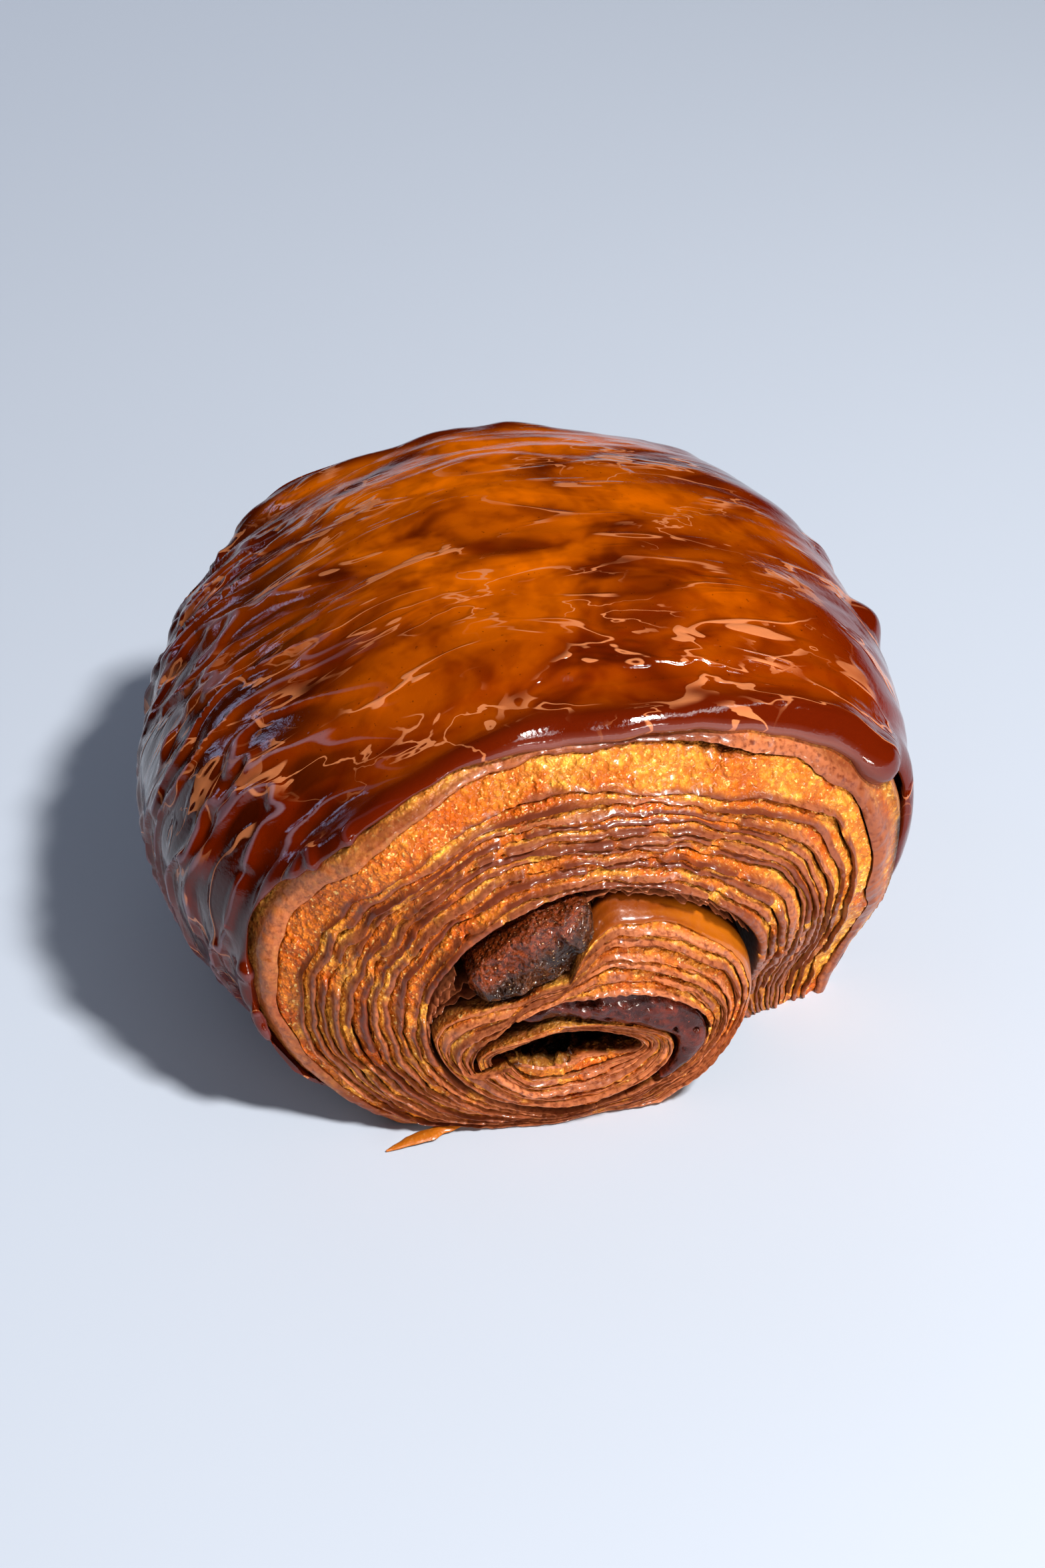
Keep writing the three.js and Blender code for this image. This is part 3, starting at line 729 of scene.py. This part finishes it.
# Pits sunk into the ends, painted near black as shade.
hole = ease(cloud(stick_x / 1.5, stick_z / 1.5, 0.3, seed=12), 0.55, 0.8)
stick_along = stick_along + np.where(along < 0.5, 1, -1) * (dimple + 0.8 * hole) * (swell < 0.999)
place_points(lower_stick, stick_x, stick_along, stick_z)
paint(lower_stick, "syrup_and_pit_shade", hole)
close_piece(lower_stick)

upper_low, upper_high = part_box("chocolate_stick_upper")
upper_stick, turn, along, swell = stick_ball("chocolate_stick_upper_piece")
bar_power = 2 / UPPER_BAR["square"]
bar_x = UPPER_BAR["wide"] / 2 * swell * signed_power(np.cos(turn), bar_power)
bar_z = UPPER_BAR["thick"] / 2 * swell * signed_power(np.sin(turn), bar_power)
bar_tilt = math.radians(UPPER_BAR["tilt"])
stick_along = stick_y(upper_low[1] / MM, upper_high[1] / MM, along, swell, UPPER_BAR["round"])
lump = sum(
    high * cloud(bar_x / wide, bar_z / wide, stick_along / wide, seed=seed) for high, wide, seed in GRANULES
)
syrup = ease(bar_z - 0.12 * bar_x + 1.2 * cloud(bar_x / 3, bar_z / 3, 0.2, seed=19), 0.0, 1.6)
soaked = ease(bar_z, 0.0, 2.6) * ease(bar_x, -5.0, 2.0)
bar_x = bar_x * (1 + 0.06 * lump) + 1.6 * soaked * ease(bar_x, 2.0, 7.0)
bar_z = bar_z * (1 + 0.14 * lump) + 1.5 * soaked
stick_along = stick_along + np.where(along < 0.5, 1, -1) * (0.4 + lump) * (swell < 0.98)
stick_x = UPPER_BAR["x"] + bar_x * math.cos(bar_tilt) - bar_z * math.sin(bar_tilt)
stick_z = UPPER_BAR["z"] + bar_x * math.sin(bar_tilt) + bar_z * math.cos(bar_tilt)
place_points(upper_stick, stick_x, stick_along, stick_z)
paint(upper_stick, "syrup_and_pit_shade", syrup)
close_piece(upper_stick)


def dark_chocolate(name, body, deep, syrup_and_pit_shade_colour, fleck, rough, grain_size, coat, granules):
    """Baked dark chocolate with grains of a size in millimetres; its colour changes where syrup and pits are
    marked.
    """
    finish, tree, shader = new_finish(name)
    speck = placed(tree, grain, Size=grain_size, Detail=4.0, Roughness=0.65)
    patch = placed(tree, grain, Size=4.0)
    flecked = stretch(tree, placed(tree, grain, Size=0.36, Detail=2.0), 0.66, 0.73)
    colour = blend(tree, stretch(tree, patch, 0.35, 0.65), deep, body)
    # Syrup on the upper stick is its own colour; in the lower stick's pits this colour is painted shade.
    colour = blend(tree, painted(tree, "syrup_and_pit_shade"), colour, syrup_and_pit_shade_colour)
    colour = blend(tree, stretch(tree, speck, 0.56, 0.4, 0.0, 0.7), colour, deep)
    # Flecks in the fleck colour; on the granular stick they are painted glints.
    colour = blend(tree, flecked, colour, fleck)
    grains = times(tree, stretch(tree, placed(tree, bubbles, Size=0.6), 0.7, 0.0), granules)
    height = sum_of(tree, "ADD", speck, grains)
    fill(tree, shader, Base_Color=colour, Roughness=stretch(tree, speck, 0.3, 0.7, rough - 0.1, rough + 0.1),
         Specular_IOR_Level=0.2, Coat_Weight=coat, Coat_Roughness=0.12, Normal=bumped(tree, height, 0.8, 0.4))
    return finish


lower_stick.data.materials.append(dark_chocolate(
    "smooth_chocolate", body=srgb(92, 30, 14), deep=srgb(46, 12, 6), syrup_and_pit_shade_colour=srgb(22, 7, 4),
    fleck=srgb(116, 46, 24), rough=0.34, grain_size=1.0, coat=0.5, granules=0.2,
))
upper_stick.data.materials.append(dark_chocolate(
    "granular_chocolate", body=srgb(92, 48, 24), deep=srgb(36, 17, 8), syrup_and_pit_shade_colour=srgb(118, 48, 14),
    fleck=srgb(216, 172, 124), rough=0.28, grain_size=0.45, coat=0.7, granules=1.0,
))
for stick, stick_node in ((lower_stick, "chocolate_stick_lower"), (upper_stick, "chocolate_stick_upper")):
    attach(stick, "root")
    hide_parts(stick_node)


# The outer wrap
# The same sheet carried once more round the core, from its end on the table over the top and down the left.
# Its ends fan out: a broad golden crumb under the crust, then thin layers that lie close round the pocket.
WRAP_COLUMNS = 540
WRAP_FACE = np.array([WRAP_START, 0.12, 0.3])  # how deep in the sheet its outer face lies, under the crust
WRAP_FACE_ROWS = np.array([2.0, 7.0, 20.0])
wrap_deg, wrap_run = even_steps(TAIL_START, CORE_FROM, WRAP_COLUMNS, 0.5)
wrap_run = wrap_run - wrap_run[-1]  # counted back from the core, so that the layers' noise runs on
# Its inner faces in the gaps get painted shade, the more the deeper they lie; its face under the crust gets
# none.
outer_wrap = rolled_piece("outer_wrap", wrap_deg, [
    end_band(wrap_deg, wrap_run, (9, 21) + 10 * (9,), -1),
    face_band(wrap_deg, 1, -1, (1.0, 2.2, 4, 7, 10, 14), 1, 0.1, 0, shaded=0.75),
    face_band(wrap_deg, 1, 1, (14, 10, 7, 4, 2.2, 1.0), 1, 0.1, 0, shaded=0.75),
    end_band(wrap_deg, wrap_run, (4, 9) + 10 * (3,), 1),
    face_band(wrap_deg, WRAP_FACE, 1, WRAP_FACE_ROWS, 0.8, 0, 0, shaded=0),
    face_band(wrap_deg, WRAP_FACE[::-1], -1, WRAP_FACE_ROWS[::-1], 0.8, 0, 0, shaded=0),
])
outer_wrap.data.materials.append(dough_finish)
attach(outer_wrap, "root")
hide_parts("pastry")


# The torn layers
# Where the roll opened beside the upper stick, thin layers of the dough tore off and stayed in the pocket.
# Each is a brown baked film, ragged at its edge, between the outer wrap and the core at both ends.
TORN_LAYERS = (  # place across the pocket, first and last angle, and how far behind the edges each starts
    (0.2, 154.0, 197.0, 0.9), (0.42, 163.0, 195.0, 1.6), (0.6, 158.0, 192.0, 2.8), (0.82, 161.0, 190.0, 2.0),
    (0.3, 22.0, 104.0, 0.5), (0.68, 30.0, 92.0, 1.3),
)
TORN_COLUMNS = 60
TORN_ROWS = 24
TORN_THICK = 0.55
TORN_DEEP = 9.0
torn_films = []
for torn_end in (-1, 1):
    for index, (torn_share, torn_from, torn_to, torn_behind) in enumerate(TORN_LAYERS):
        film, column, row = flat_grid("torn_film", TORN_COLUMNS, TORN_ROWS)
        film_part = column / (TORN_COLUMNS - 1)
        film_deg = lean(torn_from, torn_to, film_part)
        film_turn = 2 * math.pi * row / TORN_ROWS
        film_half = TORN_THICK / 2 * np.sqrt(np.clip(np.sin(film_part * math.pi), 0, 1)) + 0.02
        film_wave = 0.28 * cloud(film_deg / 9, index * 3.1, torn_end * 2.0, seed=26)
        film_inset = FACE_GAP + torn_share * core_gap(film_deg) + film_wave + film_half * np.sin(film_turn)
        film_x, film_z = oval(POCKET, film_deg, film_inset)
        film_ragged = 1.1 * cloud(film_deg / 3, index * 5.3, torn_end * 4.0, seed=27)
        film_deep = film_ragged + TORN_DEEP * (1 - signed_power(np.cos(film_turn), 0.3)) / 2
        film_y = torn_end * (HALF_LENGTH - end_setback(film_x, film_z, film_deg) - torn_behind - film_deep)
        place_points(film, film_x, film_y, film_z)
        # Painted shade: each film darkens the deeper it lies behind its edge.
        film_shade = np.clip(0.1 + ease(film_deep, 0.5, 4.0), 0, 1)
        for look, values in zip(LOOKS, (1.0, film_shade, 0.0, 0.45)):
            paint(film, look, np.zeros(len(film_x)) + values)
        close_piece(film)
        torn_films.append(film)
bpy.ops.object.select_all(action="DESELECT")
for film in torn_films:
    film.select_set(True)
torn_layers = torn_films[0]
bpy.context.view_layer.objects.active = torn_layers
bpy.ops.object.join()
torn_layers.name = "torn_layers"
torn_layers.data.name = "torn_layers"
torn_layers.data.materials.append(dough_finish)
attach(torn_layers, "root")
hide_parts("pastry")


# The glazed crust
# The sheet's outermost layer, browned by the oven and brushed with syrup that has set to a clear glossy coat.
# It wrinkles as it shrinks, and its lip overhangs the layers below at both ends.
CRUST_COLUMNS = 470
CRUST_ROWS = 160
LIP_ROWS = 15
CRUST_END = 292.0
LIP = {"behind": 3.0, "stands": (0.6, 0.9), "thick": (0.075, 0.115)}  # without and with its bead
LIP_BEAD = ((15.0, 45.0), (120.0, 98.0))  # degrees over which the lip's bead swells and ends
LIP_TUCK = {"by": 3.4, "right": (34.0, 14.0), "under": (210.0, 230.0)}  # how far back the lip lies low down
LIP_RIDGE = (0.9, 0.9, 1.9)  # the bead along the lip: height, distance from its edge and reach
LIP_TROUGH = (0.5, 4.0, 2.4)
FULL_BACK = {"round": (1.0, 42.0, 26.0), "y": (0.0, 14.0)}  # how the right shoulder fills out behind
FLANK = {"x": (-17.0, -33.0), "z": (1.0, 8.0)}  # the left side, where the crust lies in pleats
GLAZE_BEADS = (  # set drops of glaze: place, reach and how far each stands out
    ((36.6, -31.6, 35.6), 5.4, 2.4),
    ((43.0, -4.5, 38.6), 4.4, 1.5),
    ((41.0, 8.6, 40.4), 4.2, 0.7),
)
crust_deg, crust_run = even_steps(TAIL_START, CRUST_END, CRUST_COLUMNS, 0.0)
bead_there = between(crust_deg, *LIP_BEAD)[:, None]
lip_tuck = sum(LIP_TUCK["by"] * ease(crust_deg, *LIP_TUCK[side]) for side in ("right", "under"))[:, None]


def lip_band(end):
    """Rows over the rounded lip, from outer to inner face: place, distance from its edge, and a painted
    reflection along its lower edge.
    """
    angle = np.linspace(0, math.pi, LIP_ROWS)[None, :]
    wave = cloud(crust_run[:, None] / 11, end * 3.0, 0.5, seed=21)
    wave = wave + 0.5 * cloud(crust_run[:, None] / 4, end * 2.0, 0.5, seed=28)
    thick = lean(*LIP["thick"], bead_there) * (1 + 0.4 * wave)
    t = thick * (1 - np.cos(angle)) / 2
    sway = 0.7 * cloud(crust_run[:, None] / 7, end * 5.0, 0.5, seed=22)
    over = LIP["behind"] + lean(*LIP["stands"], bead_there) + sway
    forward = np.sin(angle) ** 0.8
    stands = -LIP["behind"] + over * forward
    behind = over * np.where(angle < math.pi / 2, 1 - forward, 0)
    # Painted reflection: a pale streak along the lip's lower edge, where its bead swells.
    rim = hump(angle, 1.95, 0.5) * bead_there
    rows = t, stands, behind, rim
    return [values[:, ::-1] for values in rows] if end > 0 else rows


def crust_surface():
    """The crust's points before it wrinkles, in rows: outer face from back to front, front lip, back lip."""
    along = np.linspace(1, 0, CRUST_ROWS)[None, 1:-1]
    x, z = sheet_section(crust_deg, 0.0)
    reach = (HALF_LENGTH - end_setback(x, z, crust_deg) - LIP["behind"])[:, None] - lip_tuck
    face_y = lean(-reach, reach, along)
    face = face_y.shape[1]
    t, stands, from_lip, rim = (
        np.concatenate([np.zeros_like(face_y), front, back], axis=1)
        for front, back in zip(lip_band(-1), lip_band(1))
    )
    from_lip[:, :face] = reach - np.abs(face_y) + LIP["behind"]
    x, z = sheet_section(crust_deg[:, None], t)
    y = HALF_LENGTH - end_setback(x, z, crust_deg[:, None]) - lip_tuck + stands
    y[:, :face] = face_y
    y[:, face:face + LIP_ROWS] *= -1
    x, z = swollen(x, z, y, turn_shares(crust_deg[:, None])[0] * (1 - t), crust_deg[:, None])
    return np.stack([x, y, z], axis=-1), face, from_lip, rim


crust_points, crust_face, from_lip, lip_edge_reflection = crust_surface()
crust_normal = np.cross(np.gradient(crust_points, axis=0), np.gradient(crust_points, axis=1))
crust_normal /= np.maximum(np.linalg.norm(crust_normal, axis=-1, keepdims=True), 1e-9)
outward = crust_points[:, :crust_face] - np.array([0.0, 0.0, WIDEST_Z])
if np.mean(np.sum(crust_normal[:, :crust_face] * outward, axis=-1)) < 0:
    crust_normal = -crust_normal

girth = np.broadcast_to(crust_run[:, None], crust_points.shape[:2])
crust_x, crust_y, crust_z = (crust_points[..., axis] for axis in range(3))
drift_y = crust_y + 2.6 * cloud(girth / 15, crust_y / 13, 0.2, seed=31)
drift_girth = girth + 5.0 * cloud(girth / 18, crust_y / 15, 0.7, seed=32)
fold = cloud(drift_girth / 15, drift_y / 3.9, 0.4, seed=34)
fold = fold + 0.4 * cloud(drift_girth / 5, drift_y / 2.2, 0.3, seed=39)
flank = ease(crust_x, *FLANK["x"]) * ease(crust_z, *FLANK["z"])
wrinkles = 0.5 * cloud(girth / 17, crust_y / 11, 0.3, seed=36) - 0.4 * ease(from_lip, 1.0, 8.0)
wrinkles = wrinkles + 0.2 * cloud(drift_girth / 10, drift_y / 4.2, 0.6, seed=37)
wrinkles = wrinkles + 0.1 * cloud(drift_girth / 5, drift_y / 2.4, 0.9, seed=33)
pleats = 0.8 * np.exp(-(fold / 0.2) ** 2) + 0.5 * cloud(drift_girth / 12, drift_y / 5, 0.8, seed=38)
wrinkles = wrinkles + flank * (pleats - 0.4)
ridge = (rise(LIP_RIDGE, from_lip) - rise(LIP_TROUGH, from_lip)) * lean(0.25, 1.0, bead_there)
wrinkles = wrinkles + ridge * lean(1.0, 0.2, ease(crust_y, -5.0, 5.0))
wrinkles = wrinkles + rise(FULL_BACK["round"], crust_deg[:, None]) * ease(crust_y, *FULL_BACK["y"])
for bead_place, bead_reach, bead_stands in GLAZE_BEADS:
    away = np.linalg.norm(crust_points - np.array(bead_place), axis=-1)
    wrinkles = wrinkles + bead_stands * hump(away, 0.0, bead_reach)
crust_points = crust_points + crust_normal * wrinkles[..., None]
crust_points[..., 2] = np.maximum(crust_points[..., 2], 0.0)

# Darker within a few millimetres of the lip: the glaze's own dark colour there, partly painted shade on the
# face that turns forward and down.
lip_part = ease(from_lip, 3.4, 0.6)
warmth = hump(crust_deg[:, None], 106.0, 78.0) + 0.35 * cloud(girth / 22, crust_y / 13, 0.5, seed=40)
warmth = warmth * lean(0.3, 1.0, ease(crust_y, -36.0, -6.0))
# Less amber at the lip, and on the left side as painted shade.
warmth = np.clip(warmth * (1 - 0.8 * lip_part) * (1 - 0.7 * flank), 0, 1)
glazed_crust, column, row = flat_grid("glazed_crust", *crust_points.shape[:2])
place_points(glazed_crust, *crust_points[column, row].T)
for look, values in (
    ("girth", girth), ("fold", fold), ("flank", flank),
    ("lip", lip_part), ("rim", lip_edge_reflection), ("warmth", warmth),
):
    paint(glazed_crust, look, values[column, row])
close_piece(glazed_crust)

CRUST_AMBER = srgb(206, 97, 0)
CRUST_RUSSET = srgb(94, 19, 0)
CRUST_DARK = srgb(46, 10, 1)
CRUST_LIP = srgb(78, 17, 2)
LIP_EDGE_REFLECTION = srgb(150, 96, 84)
WRINKLE_REFLECTION = srgb(192, 116, 72)
FOLD_SHEEN = srgb(132, 110, 122)
CRUST_MARKS = {  # noise behind each mark: size round the roll and along it, level, detail and distortion
    "long_lines": (24.0, 8.0, 1.3, 3.0, 0.9), "short_lines": (12.0, 5.5, 7.7, 3.5, 0.7),
    "broken": (11.0, 8.0, 4.1, 2.0, 0.0), "patchy": (15.0, 12.0, 9.4, 2.0, 0.0),
    "broad": (9.0, 6.0, 5.6, 2.0, 0.0), "mottle": (13.0, 10.0, 2.2, 3.0, 0.8),
}


def glazed_finish():
    """Browned crust under set syrup: amber on top, darker at its lip (partly painted shade) and left side
    (painted shade), with pale painted reflections on its wrinkles.
    """
    finish, tree, shader = new_finish("glazed_crust")
    girth_mm, side, lip, warm = (painted(tree, name) for name in ("girth", "flank", "lip", "warmth"))
    place = node(tree, "ShaderNodeSeparateXYZ", Vector=node(tree, "ShaderNodeTexCoord").outputs["Object"])
    length_mm = sum_of(tree, "DIVIDE", place.outputs["Y"], MM)

    def crust_noise(mark):
        """Noise stretched round the roll, as a mark needs it."""
        round_size, along_size, level, detail, distortion = CRUST_MARKS[mark]
        where = node(tree, "ShaderNodeCombineXYZ", X=sum_of(tree, "DIVIDE", girth_mm, round_size),
                     Y=sum_of(tree, "DIVIDE", length_mm, along_size), Z=level)
        return node(tree, "ShaderNodeTexNoise", Vector=where.outputs["Vector"], Scale=1.0, Detail=detail,
                    Roughness=0.5, Distortion=distortion).outputs["Fac"]

    def off_level(value, level):
        """How far a value lies from a level."""
        return sum_of(tree, "ABSOLUTE", sum_of(tree, "SUBTRACT", value, level))

    def drawn(line, kept):
        """A line of uneven width where a noise meets its level, kept only in places."""
        return times(tree, stretch(tree, sum_of(tree, "SUBTRACT", line, broad), 0.003, -0.003), kept)

    long_lines = off_level(crust_noise("long_lines"), 0.5)
    short_lines = off_level(crust_noise("short_lines"), 0.54)
    broken = stretch(tree, crust_noise("broken"), 0.44, 0.56)
    patchy = stretch(tree, crust_noise("patchy"), 0.48, 0.6)
    broad = stretch(tree, crust_noise("broad"), 0.46, 0.7, 0.006, 0.032)
    # Painted reflections: pale streaks where two noises meet their level, kept in broken patches.
    reflected_lines = sum_of(tree, "MAXIMUM", drawn(long_lines, broken), drawn(short_lines, patchy))
    from_fold = off_level(painted(tree, "fold"), 0.0)
    # Painted reflection: a cool sheen along the pleats of the left side, faint at the lip.
    fold_line = times(tree, stretch(tree, from_fold, 0.1, 0.03), side)
    fold_sheen = times(tree, fold_line, stretch(tree, lip, 0.0, 0.6, 0.5, 0.1))
    # Painted shade: darker in the troughs between the left side's pleats.
    trough_shade = times(tree, side, stretch(tree, from_fold, 0.2, 0.55, 0.15, 0.85))
    mottle = crust_noise("mottle")
    blotch = stretch(tree, placed(tree, grain, Size=3.0, Detail=2.0, Roughness=0.5), 0.55, 0.35, 0.0, 0.3)
    spot = stretch(tree, placed(tree, grain, Size=0.5, Detail=1.0, Roughness=0.5), 0.27, 0.21, 0.0, 0.6)
    amber = times(tree, warm, stretch(tree, mottle, 0.26, 0.7, 0.05, 1.0))
    colour = blend(tree, amber, CRUST_RUSSET, CRUST_AMBER)
    dark_mottle = stretch(tree, mottle, 0.46, 0.28, 0.0, 0.55)
    # Laid over in turn: dark mottle, blotches and pinholes; the lip's darker glaze, partly painted shade;
    # painted shade in the left side's troughs; painted reflections along the wrinkles, the pleats and the
    # lip's edge.
    for factor, over in (
        (dark_mottle, CRUST_DARK), (blotch, CRUST_RUSSET), (spot, CRUST_DARK),
        (times(tree, lip, 0.8), CRUST_LIP), (trough_shade, CRUST_DARK), (times(tree, reflected_lines, 0.85), WRINKLE_REFLECTION),
        (fold_sheen, FOLD_SHEEN), (times(tree, painted(tree, "rim"), 0.4), LIP_EDGE_REFLECTION),
    ):
        colour = blend(tree, factor, colour, over)
    ridges = times(tree, stretch(tree, long_lines, 0.05, 0.0), broken)
    pits = times(tree, placed(tree, grain, Size=0.7, Detail=4.0, Roughness=0.6), 0.3)
    height = sum_of(tree, "ADD", ridges, sum_of(tree, "ADD", pits, times(tree, mottle, 0.5)))
    faces = bumped(tree, height, 0.5, 0.3)
    fill(tree, shader, Base_Color=colour, Roughness=stretch(tree, mottle, 0.3, 0.7, 0.3, 0.45),
         Specular_IOR_Level=0.0, Coat_Weight=1.0, Coat_Roughness=0.06, Normal=faces, Coat_Normal=faces)
    return finish


glazed_crust.data.materials.append(glazed_finish())
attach(glazed_crust, "root")
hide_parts("pastry")


# The fallen flake
# A sliver of the crust that broke off and lies on the table in front of the pastry.
# It is thin, brittle and curled, and amber where the light comes through it.
FLAKE = {"tip": (-23.6, -43.6), "foot": (-12.6, -40.2), "wide": 2.0, "thick": 0.25, "curl": 0.6}
FLAKE_COLUMNS = 60
FLAKE_ROWS = 16
fallen_flake, column, row = flat_grid("fallen_flake", FLAKE_COLUMNS, FLAKE_ROWS)
flake_part = column / (FLAKE_COLUMNS - 1)
flake_turn = 2 * math.pi * row / FLAKE_ROWS
flake_ragged = 1 + 0.35 * cloud(flake_part * 7, np.sign(np.cos(flake_turn)), 0.3, seed=41)
flake_half = FLAKE["wide"] / 2 * np.sin(flake_part * math.pi * 0.86 + 0.06) ** 0.8 * flake_ragged
flake_across = flake_half * np.cos(flake_turn)
flake_rise = FLAKE["curl"] * hump(flake_part, 0.55, 0.7) * (1 - 0.5 * np.cos(flake_turn) ** 2)
flake_tip, flake_foot = np.array(FLAKE["tip"]), np.array(FLAKE["foot"])
flake_way = (flake_foot - flake_tip) / np.linalg.norm(flake_foot - flake_tip)
flake_x = lean(flake_tip[0], flake_foot[0], flake_part) - flake_across * flake_way[1]
flake_y = lean(flake_tip[1], flake_foot[1], flake_part) + flake_across * flake_way[0]
flake_z = flake_rise + FLAKE["thick"] / 2 * (1 + np.sin(flake_turn))
place_points(fallen_flake, flake_x, flake_y, flake_z)
for look, value in zip(LOOKS, (0.1, 0.0, 0.85, 1.0)):
    paint(fallen_flake, look, np.full(len(flake_x), value))
close_piece(fallen_flake)
fallen_flake.data.materials.append(dough_finish)
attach(fallen_flake, "root")


# The table and the light
# A plain pale table with a matt finish, on which the pastry and its flake lie.
# A key and a strip light stand at the front right and two low lights in front, with weak cool light behind.
TABLE_SIDE = 6.0  # metres
bpy.ops.object.select_all(action="DESELECT")
bpy.ops.mesh.primitive_plane_add(size=TABLE_SIDE)
table = bpy.context.object
table.name = "table"
table_finish, table_tree, table_shader = new_finish("pale_table")
fill(table_tree, table_shader, Base_Color=srgb(188, 198, 214), Roughness=0.8, Specular_IOR_Level=0.2)
table.data.materials.append(table_finish)

LIGHT_AIM = Vector((0, 0, 0.025))


def soft_light(name, place, size, power, colour, shines=False, fills=True, high=None):
    """A light that faces the middle of the pastry: it fills the shade, shines in glossy surfaces, or both."""
    lamp = bpy.data.lights.new(name, "AREA")
    lamp.shape = "RECTANGLE"
    lamp.size = size
    lamp.size_y = high or size
    lamp.energy = power
    lamp.color = colour
    holder = bpy.data.objects.new(name, lamp)
    bpy.context.scene.collection.objects.link(holder)
    holder.location = place
    holder.visible_glossy = shines
    holder.visible_diffuse = fills
    aim = LIGHT_AIM - holder.location
    holder.rotation_euler = aim.to_track_quat("-Z", "Y").to_euler()


SHINES_ONLY = {"shines": True, "fills": False}
soft_light("key_light", (0.28, -0.34, 0.66), 0.1, 9.0, (1.0, 0.96, 0.9), shines=True)
soft_light("front_light", (0.12, -0.42, 0.03), 0.5, 2.2, (1.0, 0.9, 0.78), high=0.06)
soft_light("strip_light", (0.4, -0.4, 0.66), 0.7, 1.8, (1.0, 0.97, 0.94), high=0.055, **SHINES_ONLY)
soft_light("glint_light", (0.2, -0.5, 0.14), 0.06, 0.6, (1.0, 0.95, 0.88), high=0.03, **SHINES_ONLY)
soft_light("far_light", (0.0, 0.6, 0.3), 0.5, 0.8, (0.92, 0.95, 1.0))
soft_light("left_light", (-0.5, -0.1, 0.6), 0.7, 0.4, (0.9, 0.94, 1.0))
soft_light("back_light", (-0.5, 0.5, 0.3), 0.16, 0.28, (0.5, 0.62, 1.0), shines=True)
world = bpy.data.worlds.new("pale_room")
world.use_nodes = True
fill(world.node_tree, world.node_tree.nodes["Background"], Color=(0.66, 0.78, 1.0, 1.0), Strength=0.075)
world.cycles_visibility.glossy = False  # so that the pale room does not veil the dark glaze
bpy.context.scene.world = world
bpy.context.scene.view_settings.view_transform = "Standard"


# The camera
# It looks down on the shown end from the front left, at the photograph's angle.
# It is a long lens held level from side to side, with everything in focus.
IMAGE_HEIGHT = 2353
FOCAL_PIXELS = 4720
SENSOR = 36.0
CAMERA = {"target": (0.3, -6.3, 25.0), "azimuth": -12.0, "elevation": 35.0, "distance": 380.0}
ABOVE_MIDDLE = 26.5  # pixels of the photograph between its middle and the target
azimuth, elevation = math.radians(CAMERA["azimuth"]), math.radians(CAMERA["elevation"])
backward = np.array([
    math.sin(azimuth) * math.cos(elevation), -math.cos(azimuth) * math.cos(elevation), math.sin(elevation)
])
lens = bpy.data.cameras.new("photo_camera")
lens.sensor_width = SENSOR
lens.lens = FOCAL_PIXELS * SENSOR / IMAGE_HEIGHT
lens.clip_start = 0.01
camera = bpy.data.objects.new("photo_camera", lens)
bpy.context.scene.collection.objects.link(camera)
camera.location = (np.array(CAMERA["target"]) + CAMERA["distance"] * backward) * MM
tilt_down = elevation + math.atan(ABOVE_MIDDLE / FOCAL_PIXELS)
camera.rotation_euler = (math.pi / 2 - tilt_down, 0.0, azimuth)
bpy.context.scene.camera = camera
